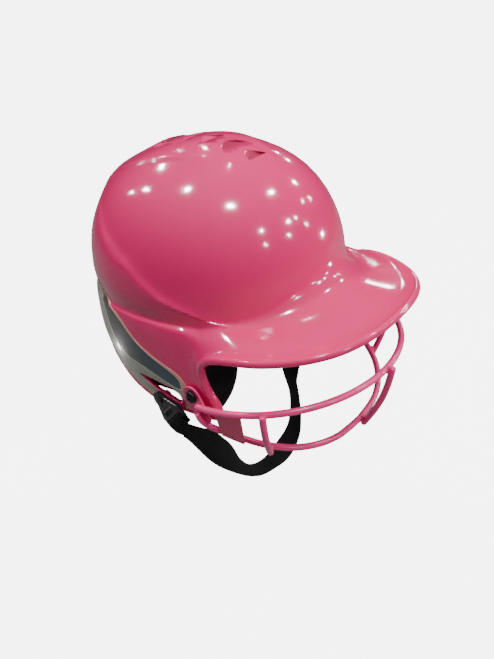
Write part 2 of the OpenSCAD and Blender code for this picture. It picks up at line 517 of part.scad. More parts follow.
// Moulded end piece: ribbed plate with a snap hole and a round bar for the webbing.
module strap_end() difference() {
    union() {
        difference() {
            side_plate(end_x, end_t) polygon(concat([for (a = [-10:12.5:190]) end_eye_r * [cos(a), sin(a)]],
                [[-strap_w / 2 - end_margin, -13], [-strap_w / 2 - end_margin, -bar_d - end_margin],
                    [strap_w / 2 + end_margin, -bar_d - end_margin], [strap_w / 2 + end_margin, -13]]));
            translate([end_x - 1, -strap_w / 2 - 0.4, -bar_d - 5]) cube([end_t + 2, strap_w + 0.8, 9.6]);
        }
        translate([bar_xc, -strap_w / 2 - 1.4, -bar_d]) rotate([-90, 0, 0]) cylinder(r = rod_r,
            h = strap_w + 2.8);
        for (i = [-2:2]) translate([end_x + end_t, i * rib_step, -15]) cylinder(r = rib_r, h = rib_len);
    }
    translate([end_x - 1, 0, 0]) rotate([0, 90, 0]) cylinder(d = stud_d + 2 * swing_gap, h = end_t + 2);
}
module at_stud(tilt) translate([0, stud_p[0], stud_p[1]]) rotate([tilt, 0, 0]) children();
module strap_end_left() color([0.06, 0.06, 0.07]) at_stud(tilt_l) strap_end();
module strap_end_right() color([0.06, 0.06, 0.07]) mirror([1, 0, 0]) at_stud(tilt_r) strap_end();

// Webbing centre line, from the sewn end on the right round to the loose tail on the left.
sd = strap_drop / 172;
loop_gap = 0.25;
lr = rod_r + loop_gap + strap_t / 2;
LX0 = bar_xc - lr;
LX1 = bar_xc + lr;
function hang(x, y, z) = [x * kx, stud_p[0] + y + 8, stud_p[1] + (z + 92.5) * (z < -125 ? sd : 1)];
function leg(s, x, d) = let (t = s < 0 ? tilt_r : tilt_l) [s * x, stud_p[0] + d * sin(t), stud_p[1] - d
    * cos(t)];
function eye(s, a) = leg(s, bar_xc + lr * cos(a), bar_d - lr * sin(a));
WEB = concat(
    [leg(-1, LX0, 30), leg(-1, LX0, 26)], [for (a = [180:-45:0]) eye(-1, a)],
    [leg(-1, LX1 - 0.2, 26), leg(-1, LX1 - 1.6, 31)],
    [hang(-100.5, -36, -118), hang(-95.5, -36.5, -124), hang(-88, -34.5, -135), hang(-79, -30.5, -150),
        hang(-68, -26, -169), hang(-54, -20, -191), hang(-37, -15, -216), hang(-20, -11, -241),
            hang(-5, -11, -257),
        hang(12, -12, -265), hang(32, -13, -267), hang(52, -12, -263), hang(69, -10, -254),
            hang(82, -5, -239),
        hang(91, 2, -220), hang(97, 10, -203)],
    [leg(1, LX0, 88), leg(1, LX0, 75), leg(1, LX0, 60), leg(1, LX0, 45), leg(1, LX0, 27)],
    [for (a = [180:-45:0]) eye(1, a)],
    [leg(1, LX1, 27), leg(1, LX1, 45), leg(1, LX1, 60), leg(1, LX1, 75), leg(1, LX1 - 0.5, 88),
        leg(1, LX1 - 1.5, 102)]);
WP = spline(WEB, 2);
// The webbing makes a half turn between the right snap and the middle, as it hangs in the picture.
function turn(p) = -180 * smooth((p[0] / kx + 106) / 128)
    - 35 * smooth((p[0] / kx - 40) / 40) * smooth((stud_p[1] - 95 - p[2]) / 30);
// Across the webbing at the ends lies the tilted width of the end piece.
function across(p) = let (t = lerp(tilt_r, tilt_l, smooth((p[0] / kx + 98) / 192))) [0, cos(t), sin(t)];
function web_ring(i) = let (t = path_dir(WP, i), r = across(WP[i]), w0 = unit(r - (r * t) * t),
    n0 = cross(t, w0),
        a = turn(WP[i]), w = w0 * cos(a) + n0 * sin(a), n = cross(t, w), h = strap_w / 2, k = strap_t / 2)
    [for (q = [[-h, -k * 0.4], [-h + 0.5, -k], [0, -k], [h - 0.5, -k], [h, -k * 0.4],
        [h, k * 0.4], [h - 0.5, k], [0, k], [-h + 0.5, k], [-h, k * 0.4]]) WP[i] + w * q[0] + n * q[1]];
module webbing() color([0.04, 0.04, 0.045]) {
    m = len(WP);
    n = 10;
    side = [for (i = [0:m - 2]) for (k = [0:n - 1]) let (a = i * n + k, b = i * n + (k + 1) % n)
        each [[a, a + n, b], [b, a + n, b + n]]];
    polyhedron([for (i = [0:m - 1]) for (p = web_ring(i)) p],
        concat(side, [[for (k = [0:n - 1]) k]], [[for (k = [n - 1:-1:0]) (m - 1) * n + k]]));
}
// Slider on the left: a divided loop that keeps the tail against the strap.
module strap_slider() color([0.06, 0.06, 0.07]) {
    sw = strap_w + 6;
    sx = 2 * lr + strap_t + 3.6;
    wx = strap_t + 0.8;
    at_stud(tilt_l) translate([bar_xc, 0, -slide_d]) difference() {
        cube([sx, sw, 11], center = true);
        for (s = [-1, 1]) translate([s * lr, 0, 0]) cube([wx, strap_w + 0.8, 14], center = true);
    }
}

shell();
decal_right();
decal_left();
upper_bar();
lower_bar();
centre_strut();
side_struts();
cheek_plate_right();
cheek_plate_left();
tab_right();
tab_left();
clip_screws();
clip_washers();
clip_nuts();
crown_pad();
front_pad();
side_pad_right();
side_pad_left();
rear_pad();
ear_pad_right();
ear_pad_left();
jaw_pad_right();
jaw_pad_left();
snap_studs();
strap_end_right();
strap_end_left();
webbing();
strap_slider();
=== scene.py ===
"""Looks of a batting helmet with a wire face mask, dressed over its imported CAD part.

Everything is in metres in the CAD part's own frame: +Z up, the bill along -Y,
the wearer's right along -X, the origin in the middle of the head.
"""
import logging
import math
from dataclasses import dataclass
from enum import Enum
from typing import Callable, Dict, List, Sequence, Tuple

import bmesh
import bpy
from mathutils import Matrix, Vector
from mathutils.bvhtree import BVHTree


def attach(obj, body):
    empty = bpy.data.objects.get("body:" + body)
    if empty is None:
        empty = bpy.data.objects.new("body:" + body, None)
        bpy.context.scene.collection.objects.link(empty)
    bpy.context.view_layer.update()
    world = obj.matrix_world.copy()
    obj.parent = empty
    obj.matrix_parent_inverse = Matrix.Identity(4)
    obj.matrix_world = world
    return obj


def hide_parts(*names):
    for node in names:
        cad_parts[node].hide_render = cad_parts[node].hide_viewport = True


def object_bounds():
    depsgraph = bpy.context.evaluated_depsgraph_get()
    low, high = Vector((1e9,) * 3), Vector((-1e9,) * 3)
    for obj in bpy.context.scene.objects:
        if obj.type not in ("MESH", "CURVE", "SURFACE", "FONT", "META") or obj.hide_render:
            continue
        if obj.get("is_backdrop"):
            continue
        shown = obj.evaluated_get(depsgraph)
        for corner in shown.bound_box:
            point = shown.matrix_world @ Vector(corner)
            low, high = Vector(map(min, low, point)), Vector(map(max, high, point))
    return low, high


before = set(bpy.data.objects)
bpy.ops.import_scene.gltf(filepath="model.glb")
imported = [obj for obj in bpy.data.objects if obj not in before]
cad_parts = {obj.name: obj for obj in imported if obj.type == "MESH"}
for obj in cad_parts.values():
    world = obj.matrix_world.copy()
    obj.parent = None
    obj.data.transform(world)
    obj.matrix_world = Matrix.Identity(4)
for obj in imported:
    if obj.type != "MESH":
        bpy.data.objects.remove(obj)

LOG = logging.getLogger("helmet")
MM = 0.001
Pair = Tuple[float, float]
Point = Tuple[float, float, float]
Colour = Tuple[float, float, float, float]
Solid = bmesh.types.BMesh
Socket = bpy.types.NodeSocket


class Body(Enum):
    """Moving groups of the CAD part."""

    HELMET = "helmet"
    STRAP = "strap"
    SLIDER = "slider"


class Side(Enum):
    """Side of the wearer's head, as the sign of x."""

    RIGHT = -1
    LEFT = 1

    @property
    def label(self) -> str:
        """Return the side as the CAD nodes write it."""
        return self.name.lower()

    def shared(self, node: str) -> Tuple[str, ...]:
        """Return a node that holds both sides' pieces, which the left piece stands for."""
        return (node,) if self is Side.LEFT else ()


class Slot(Enum):
    """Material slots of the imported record."""

    SHELL = "shell"
    DECAL = "decal"
    MASK = "mask_paint"
    SCREW = "screw_black"
    WASHER = "washer_rubber"
    NUT = "nut_steel"
    FOAM = "foam"
    SNAP = "snap_plastic"
    WEBBING = "webbing"


def rgb(red: float, green: float, blue: float) -> Colour:
    """Return a linear colour with an alpha of one."""
    return (red, green, blue, 1.0)


def ramp(x: float, start: float, end: float) -> float:
    """Return a soft rise from 0 at start to 1 at end."""
    t = min(max((x - start) / (end - start), 0.0), 1.0)
    return t * t * (3 - 2 * t)


def lerp(a: float, b: float, t: float) -> float:
    """Return the value a share t of the way from a to b."""
    return a + (b - a) * t


def mirrored(points: Sequence[Vector], sign: float) -> List[Vector]:
    """Return the points with x times a sign."""
    return [Vector((p.x * sign, p.y, p.z)) for p in points]


def catmull(points: Sequence[Vector], steps: int) -> List[Vector]:
    """Run a smooth curve through points.

    Args:
        points: the points that the curve passes.
        steps: how many stretches each gap is cut into.

    Returns:
        Points along the curve, the ends included.
    """
    out: List[Vector] = []
    last = len(points) - 1
    for i in range(last):
        a = 2 * points[0] - points[1] if i == 0 else points[i - 1]
        b, c = points[i], points[i + 1]
        d = points[i + 2] if i + 2 <= last else 2 * points[last] - points[last - 1]
        for s in range(steps):
            t = s / steps
            out.append(0.5 * (2 * b + (c - a) * t + (2 * a - 5 * b + 4 * c - d) * t * t
                              + (3 * b - a - 3 * c + d) * t ** 3))
    out.append(points[last].copy())
    return out


def nearest(x: float, y: float, a: Sequence[float], b: Sequence[float]) -> Pair:
    """Find the place on a straight line that is nearest a point.

    Args:
        x: the point's first coordinate.
        y: the point's second coordinate.
        a: the line's start.
        b: the line's end.

    Returns:
        The share of the line before that place, and the distance to it.
    """
    dx, dy = b[0] - a[0], b[1] - a[1]
    t = min(max(((x - a[0]) * dx + (y - a[1]) * dy) / (dx * dx + dy * dy), 0.0), 1.0)
    return t, math.hypot(x - a[0] - t * dx, y - a[1] - t * dy)


def inner_distance(outline: Sequence[Vector], x: float, y: float) -> float:
    """Measure how far a point is inside a closed outline.

    Args:
        outline: the outline's corners.
        x: the point's first coordinate.
        y: the point's second coordinate.

    Returns:
        The distance to the outline, negative outside it.
    """
    best, inside = math.inf, False
    for a, b in zip(outline, list(outline[1:]) + [outline[0]]):
        best = min(best, nearest(x, y, a, b)[1])
        if (a.y > y) != (b.y > y) and x < a.x + (y - a.y) * (b.x - a.x) / (b.y - a.y):
            inside = not inside
    return best if inside else -best


# Node sketches for the materials.

class Sketch:
    """Short-hand for laying out one node tree."""

    def __init__(self, tree: bpy.types.NodeTree) -> None:
        """Keep the tree that nodes are added to."""
        self.tree = tree

    def feed(self, target: Socket, value: object) -> None:
        """Link a socket to the target, or set the target to a plain value."""
        if isinstance(value, Socket):
            self.tree.links.new(value, target)
        else:
            target.default_value = value

    def add(self, kind: str, **settings: object) -> bpy.types.Node:
        """Add a node and set it up.

        Args:
            kind: the node's type name.
            **settings: properties, or inputs given as in_Name, plain or as sockets.

        Returns:
            The new node.
        """
        node = self.tree.nodes.new(kind)
        for key, value in settings.items():
            if key.startswith("in_"):
                self.feed(node.inputs[key[3:].replace("_", " ")], value)
            else:
                setattr(node, key, value)
        return node

    def math(self, operation: str, *values: object) -> Socket:
        """Return the result of a Math node on sockets or numbers."""
        node = self.add("ShaderNodeMath", operation=operation)
        for target, value in zip(node.inputs, values):
            self.feed(target, value)
        return node.outputs[0]

    def times(self, a: object, b: object) -> Socket:
        """Return the product of two sockets or numbers."""
        return self.math("MULTIPLY", a, b)

    def plus(self, a: object, b: object) -> Socket:
        """Return the sum of two sockets or numbers."""
        return self.math("ADD", a, b)

    def minus(self, a: object, b: object) -> Socket:
        """Return the difference of two sockets or numbers."""
        return self.math("SUBTRACT", a, b)

    def step(self, value: Socket, edge: float, soft: float) -> Socket:
        """Return 0 below edge and 1 above it, over a soft width."""
        return self.add("ShaderNodeMapRange", interpolation_type="SMOOTHSTEP", in_Value=value,
                        in_From_Min=edge - soft, in_From_Max=edge + soft).outputs[0]

    def near(self, value: Socket, middle: float, half: float) -> Socket:
        """Return 1 where a value is within half a width of a middle one."""
        off = self.math("ABSOLUTE", self.minus(value, middle))
        return self.minus(1.0, self.step(off, half, half * 0.4))

    def mix(self, share: object, a: object, b: object) -> Socket:
        """Mix two colours.

        Args:
            share: a socket or a number, 0 for a and 1 for b.
            a: a socket or a colour.
            b: a socket or a colour.

        Returns:
            The mixed colour's socket.
        """
        node = self.add("ShaderNodeMix", data_type="RGBA")
        for index, value in ((0, share), (6, a), (7, b)):
            self.feed(node.inputs[index], value)
        return node.outputs[2]

    def place(self) -> Socket:
        """Return the place on the object."""
        return self.add("ShaderNodeTexCoord").outputs["Object"]

    def kept(self, name: str) -> Socket:
        """Return a number that the mesh keeps at its corners."""
        return self.add("ShaderNodeAttribute", attribute_name=name).outputs["Fac"]

    def bump(self, height: object, strength: object, depth: object) -> Socket:
        """Return the normal of a surface that is raised by a height from 0 to 1."""
        return self.add("ShaderNodeBump", in_Height=height, in_Strength=strength,
                        in_Distance=depth).outputs[0]

    def use(self, group: bpy.types.NodeTree, **values: float) -> Socket:
        """Add a shared effect with its inputs set and return its result."""
        node = self.add("ShaderNodeGroup", node_tree=group)
        for name, value in values.items():
            node.inputs[name].default_value = value
        return node.outputs[0]


class Group(Sketch):
    """Short-hand for laying out a shared effect with one result."""

    def __init__(self, name: str, inputs: Dict[str, float], output: str,
                 kind: str = "NodeSocketFloat") -> None:
        """Start the node group.

        Args:
            name: the group's name.
            inputs: name and default of each input.
            output: name of the result.
            kind: socket type of the result.
        """
        super().__init__(bpy.data.node_groups.new(name, "ShaderNodeTree"))
        for label, value in inputs.items():
            self.tree.interface.new_socket(label, in_out="INPUT",
                                           socket_type="NodeSocketFloat").default_value = value
        self.tree.interface.new_socket(output, in_out="OUTPUT", socket_type=kind)
        self.given = self.add("NodeGroupInput").outputs
        self.result = self.add("NodeGroupOutput").inputs[0]

    def noise(self, **settings: object) -> Socket:
        """Return noise at the scale that the group is given."""
        return self.add("ShaderNodeTexNoise", in_Scale=self.given["Scale"], **settings).outputs[0]


class Effects:
    """Node groups that several finishes share."""

    def __init__(self) -> None:
        """Build the groups once."""
        self.mottle = self._mottle()
        self.grain = self._grain()
        self.scuffs = self._scuffs()

    def _mottle(self) -> bpy.types.NodeTree:
        """Return a group that gives soft cloudy variation from 0 to 1."""
        group = Group("cloudy variation", {"Scale": 20.0, "Detail": 3.0}, "Value")
        group.feed(group.result, group.noise(in_Vector=group.place(), in_Roughness=0.55,
                                             in_Detail=group.given["Detail"]))
        return group.tree

    def _grain(self) -> bpy.types.NodeTree:
        """Return a group that gives the bumped normal of a moulded or sprayed surface."""
        group = Group("surface grain", {"Scale": 900.0, "Strength": 0.1, "Height": 0.0001},
                      "Normal", "NodeSocketVector")
        noise = group.noise(in_Vector=group.place(), in_Detail=2.0, in_Roughness=0.5)
        group.feed(group.result,
                   group.bump(noise, group.given["Strength"], group.given["Height"]))
        return group.tree

    def _scuffs(self) -> bpy.types.NodeTree:
        """Return a group that masks a few fine handling marks."""
        group = Group("handling marks", {"Scale": 60.0, "Amount": 0.3}, "Mask")
        drawn = group.add("ShaderNodeMapping", in_Vector=group.place(),
                          in_Rotation=(0.4, 0.7, 0.3), in_Scale=(1.0, 7.0, 1.0)).outputs[0]
        noise = group.noise(in_Vector=drawn, in_Detail=6.0, in_Roughness=0.7)
        group.feed(group.result,
                   group.times(group.step(noise, 0.66, 0.03), group.given["Amount"]))
        return group.tree


@dataclass(frozen=True)
class Paint:
    """A material, and the record's slot that it is the finish of."""

    material: bpy.types.Material
    slot: Slot


@dataclass(frozen=True)
class Finish:
    """A finish, as the settings of one material.

    Attributes:
        slot: the record's slot.
        name: the material's name.
        base: main colour.
        second: colour that the main one drifts towards.
        drift: share of the drift at its strongest.
        roughness: roughness of the clean surface.
        worn: roughness added on handling marks.
        coat: weight of the clear layer.
        metallic: metallic share.
        sheen: weight of the cloth sheen.
        mirror: strength of the plain mirror reflection, 0.5 for common plastic.
        grain: scale of the surface grain.
        depth: height of the surface grain in metres.
        strength: strength of the surface grain.
    """

    slot: Slot
    name: str
    base: Colour
    second: Colour
    drift: float = 0.3
    roughness: float = 0.4
    worn: float = 0.15
    coat: float = 0.0
    metallic: float = 0.0
    sheen: float = 0.0
    mirror: float = 0.5
    grain: float = 900.0
    depth: float = 0.0001
    strength: float = 0.1

    def grained(self, s: Sketch, effects: Effects) -> Socket:
        """Return the normal of the surface grain."""
        return s.use(effects.grain, Scale=self.grain, Strength=self.strength, Height=self.depth)

    def dress(self, s: Sketch, effects: Effects) -> Dict[str, object]:
        """Lay out what drives the shader.

        Args:
            s: a sketch of the material's tree.
            effects: the shared node groups.

        Returns:
            A socket or a plain value for inputs of the shader, by name.
        """
        cloud = s.use(effects.mottle, Scale=14.0, Detail=3.0)
        marks = s.use(effects.scuffs, Scale=70.0, Amount=self.worn)
        return {"Base Color": s.mix(s.times(cloud, self.drift), self.base, self.second),
                "Roughness": s.plus(marks, self.roughness), "Normal": self.grained(s, effects)}

    def build(self, effects: Effects) -> Paint:
        """Make the material.

        Args:
            effects: the shared node groups.

        Returns:
            The material with its slot.
        """
        material = bpy.data.materials.new(self.name)
        material.use_nodes = True
        sketch = Sketch(material.node_tree)
        shader = material.node_tree.nodes["Principled BSDF"]
        settings = {"Metallic": self.metallic, "Coat Weight": self.coat, "Coat Roughness": 0.06,
                    "Sheen Weight": self.sheen, "Sheen Roughness": 0.4,
                    "Specular IOR Level": self.mirror, **self.dress(sketch, effects)}
        for name, value in settings.items():
            sketch.feed(shader.inputs[name], value)
        return Paint(material, self.slot)


@dataclass(frozen=True)
class FoamFinish(Finish):
    """Closed-cell foam: dark, matt and finely pitted.

    Attributes:
        cells: scale of the pits.
    """

    cells: float = 1400.0

    def dress(self, s: Sketch, effects: Effects) -> Dict[str, object]:
        """Lay out the pits, which also carry the colour's drift.

        Args:
            s: a sketch of the material's tree.
            effects: the shared node groups.

        Returns:
            A socket or a plain value for inputs of the shader, by name.
        """
        cell = s.add("ShaderNodeTexVoronoi", in_Vector=s.place(), in_Scale=self.cells)
        pit = s.step(cell.outputs["Distance"], 0.35, 0.25)
        cloud = s.use(effects.mottle, Scale=22.0, Detail=4.0)
        drift = s.times(s.times(cloud, pit), self.drift)
        return {"Base Color": s.mix(drift, self.base, self.second), "Roughness": self.roughness,
                "Normal": s.bump(pit, self.strength, self.depth)}


@dataclass(frozen=True)
class WebbingFinish(Finish):
    """Woven strap: chevron ribs that follow the strap, with bound edges.

    Attributes:
        pitch: length of one rib along the strap, in metres.
        half: half the strap's width, in metres.
        slant: how far a rib leans along the strap for each metre across it.
        thread: width of a thread, as a share of the pitch.
    """

    pitch: float = 0.0021
    half: float = 0.0125
    slant: float = 1.3
    thread: float = 0.55

    def dress(self, s: Sketch, effects: Effects) -> Dict[str, object]:
        """Lay out the weave from the places along and across the strap.

        Args:
            s: a sketch of the material's tree.
            effects: the shared node groups.

        Returns:
            A socket or a plain value for inputs of the shader, by name.
        """
        across = s.kept("across")
        column = s.math("PINGPONG", across, self.half / 3)
        lean = s.math("MULTIPLY_ADD", column, self.slant, s.kept("along"))
        rib = s.math("SINE", s.times(lean, 2 * math.pi / self.pitch))
        thread = s.math("SINE", s.times(across, 2 * math.pi / (self.pitch * self.thread)))
        edge = s.step(s.math("ABSOLUTE", across), self.half * 0.9, self.half * 0.05)
        weave = s.plus(s.times(rib, 0.35), s.times(thread, 0.15))
        height = s.plus(s.plus(weave, 0.5), s.times(edge, -0.35))
        lint = s.use(effects.mottle, Scale=160.0, Detail=5.0)
        drift = s.times(s.times(lint, s.plus(weave, 0.7)), self.drift)
        return {"Base Color": s.mix(drift, self.base, self.second), "Roughness": self.roughness,
                "Normal": s.bump(height, self.strength, self.depth)}


@dataclass(frozen=True)
class DecalFinish(Finish):
    """Metallic film: a dark band, a pale speckled stripe, a thin border and a bare patch.

    The base is the stripe's colour, and the second colour is that of the fine lines and
    of the brightest flakes. Zones come as distances in millimetres, positive inside.

    Attributes:
        front_band: the dark band's colour at the front.
        rear_band: the same at the rear.
        gleam: colour of the long gleam painted into the stripe, a painted highlight.
        border: the border's colour.
        bare: colour of the shell where no film lies.
        metal: metallic share of the film.
        soft: half the width of a zone's blurred edge, in millimetres.
    """

    front_band: Colour = rgb(0.030, 0.070, 0.115)
    rear_band: Colour = rgb(0.105, 0.090, 0.088)
    gleam: Colour = rgb(1.0, 0.97, 0.66)
    border: Colour = rgb(0.78, 0.36, 0.29)
    bare: Colour = rgb(0.84, 0.023, 0.165)
    metal: float = 0.22
    soft: float = 0.15

    def dress(self, s: Sketch, effects: Effects) -> Dict[str, object]:
        """Lay out the zones, the flakes, the fine lines and the painted gleam.

        Args:
            s: a sketch of the material's tree.
            effects: the shared node groups.

        Returns:
            A socket or a plain value for inputs of the shader, by name.
        """
        along, edge = s.kept("along"), s.kept("band")
        on_band = s.step(edge, 0.0, self.soft)
        on_stripe, bare = (s.step(s.kept(zone), 0.0, self.soft) for zone in ("stripe", "bare"))
        flake = s.add("ShaderNodeTexNoise", in_Vector=s.place(), in_Scale=620.0, in_Detail=4.0,
                      in_Roughness=0.85).outputs[0]
        fleck, dust = s.step(flake, 0.54, 0.07), s.step(flake, 0.40, 0.05)
        band = s.mix(s.step(along, 0.36, 0.20), self.front_band, self.rear_band)
        band = s.mix(s.times(fleck, 0.16), band, self.base)
        pale = s.mix(s.times(s.minus(1.0, dust), 0.5), self.base, self.rear_band)
        pale = s.mix(s.times(fleck, 0.55), pale, self.second)
        # Painted highlight: a long cream gleam mixed into the stripe's colour, broken up by soft
        # clouds.
        painted_gleam_mask = s.times(s.near(edge, -3.2, 1.1), s.near(along, 0.555, 0.075))
        cloud = s.plus(s.use(effects.mottle, Scale=90.0, Detail=5.0), 0.35)
        pale = s.mix(s.times(painted_gleam_mask, cloud), pale, self.gleam)
        film = s.mix(on_band, s.mix(on_stripe, self.border, pale), band)
        line = s.math("MAXIMUM", s.near(edge, -0.35, 0.28),
                      s.times(s.near(edge, -1.7, 0.22), on_stripe))
        film = s.mix(s.times(line, 0.75), film, self.second)
        metal = s.minus(self.metal, s.times(bare, self.metal))
        rough = s.plus(s.times(fleck, 0.15), self.roughness)
        return {"Base Color": s.mix(bare, film, self.bare),
                "Metallic": s.times(s.math("MAXIMUM", on_stripe, on_band), metal),
                "Roughness": s.minus(rough, s.times(bare, 0.12)),
                "Normal": self.grained(s, effects)}


class Paintbox:
    """All finishes of the helmet, made once."""

    def __init__(self) -> None:
        """Make each material."""
        effects = Effects()
        self.shell = Finish(
            Slot.SHELL, "glossy pink shell", rgb(0.87, 0.026, 0.178), rgb(0.80, 0.020, 0.150), 0.5,
            0.12, 0.06, coat=0.4, grain=260.0, depth=0.00006, strength=0.10).build(effects)
        # Scoop floors: a darker pink that is painted shade in the recesses, with the moulding's own
        # rougher grain.
        self.scoop = Finish(
            Slot.SHELL, "scoop floor with painted shade", rgb(0.44, 0.010, 0.070), rgb(0.26, 0.006, 0.040),
            0.9, 0.5, 0.2, mirror=0.3, grain=420.0, depth=0.0003, strength=0.6).build(effects)
        self.decal = DecalFinish(
            Slot.DECAL, "two-tone film", rgb(0.36, 0.395, 0.31), rgb(0.80, 0.76, 0.62),
            roughness=0.28, coat=0.2, grain=1300.0, depth=0.00004, strength=0.1).build(effects)
        self.wire = Finish(
            Slot.MASK, "powder-coated pink wire", rgb(1.0, 0.058, 0.290), rgb(0.96, 0.046, 0.24),
            0.5, 0.24, 0.1, coat=0.25, grain=700.0, depth=0.00005, strength=0.2).build(effects)
        # The plates share the wire's powder coat; their darker pink is painted shade on their side
        # faces.
        self.plate = Finish(
            Slot.MASK, "pink plate paint with painted shade", rgb(0.86, 0.060, 0.19), rgb(0.70, 0.040, 0.14),
            0.6, 0.36, 0.15, coat=0.1, grain=700.0, depth=0.00006, strength=0.25).build(effects)
        self.screw = Finish(
            Slot.SCREW, "blackened screw", rgb(0.010, 0.010, 0.011), rgb(0.030, 0.028, 0.028),
            0.5, 0.34, 0.25, metallic=0.4, grain=1500.0, depth=0.00003,
            strength=0.2).build(effects)
        self.washer = Finish(
            Slot.WASHER, "black rubber washer", rgb(0.010, 0.010, 0.010), rgb(0.025, 0.024, 0.024),
            0.4, 0.75, 0.1, grain=2200.0, depth=0.00004, strength=0.3).build(effects)
        self.nut = Finish(
            Slot.NUT, "plated steel nut", rgb(0.50, 0.50, 0.52), rgb(0.30, 0.30, 0.32), 0.4, 0.3,
            0.2, metallic=1.0, grain=1800.0, depth=0.00002, strength=0.2).build(effects)
        self.foam = FoamFinish(
            Slot.FOAM, "black closed-cell foam", rgb(0.004, 0.004, 0.0045),
            rgb(0.018, 0.017, 0.018), 0.6, 0.85, mirror=0.2, depth=0.00018,
            strength=0.5).build(effects)
        self.snap = Finish(
            Slot.SNAP, "black moulded plastic", rgb(0.008, 0.008, 0.009),
            rgb(0.022, 0.022, 0.023), 0.5, 0.28, 0.2, grain=1600.0, depth=0.00004,
            strength=0.25).build(effects)
        self.webbing = WebbingFinish(
            Slot.WEBBING, "black woven strap", rgb(0.0025, 0.0025, 0.003),
            rgb(0.016, 0.015, 0.016), 0.8, 0.8, mirror=0.2, depth=0.0003,
            strength=0.7).build(effects)
        self.stitch = Finish(
            Slot.WEBBING, "black sewing thread", rgb(0.012, 0.012, 0.013),
            rgb(0.05, 0.049, 0.052), 0.6, 0.6, 0.0, sheen=0.1, grain=4000.0, depth=0.00005,
            strength=0.4).build(effects)


# Mesh helpers.

def publish(bm: Solid, name: str, paint: Paint, replaced: Sequence[str] = (),
            body: Body = Body.HELMET) -> bpy.types.Object:
    """Turn a bmesh into a finished, smooth-shaded piece that rides on a body.

    Args:
        bm: the mesh, in place in the part's frame. It is freed.
        name: the piece's name.
        paint: its finish.
        replaced: the CAD nodes that it stands for.
        body: the body it moves with.

    Returns:
        The new object.
    """
    mesh = bpy.data.meshes.new(name)
    for face in bm.faces:
        face.smooth = True
    bm.to_mesh(mesh)
    bm.free()
    mesh.materials.append(paint.material)
    piece = bpy.data.objects.new(name, mesh)
    bpy.context.scene.collection.objects.link(piece)
    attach(piece, body.value)
    if replaced:
        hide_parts(*replaced)
    LOG.info("piece %s: %d faces", name, len(mesh.polygons))
    return piece


def merged_copy(node: str, quads: bool = True) -> Solid:
    """Copy a CAD node's mesh and close its loose triangles.

    Args:
        node: the CAD node's name.
        quads: whether pairs of triangles are joined into quads.

    Returns:
        The merged mesh.
    """
    bm = bmesh.new()
    bm.from_mesh(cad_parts[node].data)
    bmesh.ops.remove_doubles(bm, verts=bm.verts, dist=0.00001)
    if quads:
        bmesh.ops.join_triangles(bm, faces=bm.faces, angle_face_threshold=math.radians(35),
                                 angle_shape_threshold=math.radians(70))
    return bm


def crease(bm: Solid, angle: float, weight: float = 1.0) -> None:
    """Mark edges sharper than an angle so that subdivision keeps them.

    Args:
        bm: the mesh.
        angle: least angle between the two faces, in degrees.
        weight: crease weight.
    """
    layer = bm.edges.layers.float.get("crease_edge") or bm.edges.layers.float.new("crease_edge")
    for edge in bm.edges:
        if edge.is_manifold and edge.calc_face_angle(0.0) > math.radians(angle):
            edge[layer] = weight


def subdivide(piece: bpy.types.Object, levels: int) -> None:
    """Add a Subdivision Surface modifier with equal view and render levels."""
    modifier = piece.modifiers.new("smooth surface", "SUBSURF")
    modifier.levels = levels
    modifier.render_levels = levels


def bevel_edges(piece: bpy.types.Object, width: float, segments: int = 2) -> None:
    """Round the piece's sharp edges with a Bevel modifier."""
    modifier = piece.modifiers.new("softened edges", "BEVEL")
    modifier.width = width
    modifier.segments = segments
    modifier.limit_method = "ANGLE"
    modifier.angle_limit = math.radians(32)
    modifier.harden_normals = False


def shade_by_angle(piece: bpy.types.Object, angle: float = 40.0) -> None:
    """Keep edges sharper than an angle sharp in the shading."""
    bm = bmesh.new()
    bm.from_mesh(piece.data)
    for edge in bm.edges:
        edge.smooth = not (edge.is_manifold and edge.calc_face_angle(0.0) > math.radians(angle))
    bm.to_mesh(piece.data)
    bm.free()


def settle(piece: bpy.types.Object) -> None:
    """Replace the piece's mesh by what its modifiers make of it."""
    graph = bpy.context.evaluated_depsgraph_get()
    mesh = bpy.data.meshes.new_from_object(piece.evaluated_get(graph))
    piece.modifiers.clear()
    piece.data = mesh


def sweep(stations: Sequence[Matrix], outline: Callable[[float], Pair], segments: int,
          along: Sequence[float] = (), closed: bool = False) -> Solid:
    """Extrude a closed outline through a row of places.

    Args:
        stations: the place and turn of each ring; x and y of a ring are across the path.
        outline: gives x and y, in metres, for an angle round the ring.
        segments: points on each ring.
        along: distance of each station from the start, kept as an attribute.
        closed: whether the last ring is joined to the first one.

    Returns:
        A tube with capped or joined ends.
    """
    bm = bmesh.new()
    spoke = bm.verts.layers.int.new("spoke")
    length = bm.verts.layers.float.new("along")
    breadth = bm.verts.layers.float.new("across")
    ring = bmesh.ops.create_circle(bm, cap_ends=False, segments=segments, radius=1.0)["verts"]
    for k, vert in enumerate(ring):
        vert[spoke] = k
    edges = list(bm.edges)
    first = list(edges)
    for index, place in enumerate(stations):
        if index:
            made = bmesh.ops.extrude_edge_only(bm, edges=edges)["geom"]
            ring = [g for g in made if isinstance(g, bmesh.types.BMVert)]
            fresh = set(ring)
            edges = [g for g in made
                     if isinstance(g, bmesh.types.BMEdge) and set(g.verts) <= fresh]
        for vert in ring:
            x, y = outline(2 * math.pi * vert[spoke] / segments)
            vert.co = place @ Vector((x, y, 0.0))
            vert[length] = along[index] if along else 0.0
            vert[breadth] = x
    if closed:
        bmesh.ops.bridge_loops(bm, edges=first + edges)
    else:
        bmesh.ops.contextual_create(bm, geom=first)
        bmesh.ops.contextual_create(bm, geom=edges)
    bmesh.ops.recalc_face_normals(bm, faces=bm.faces)
    return bm


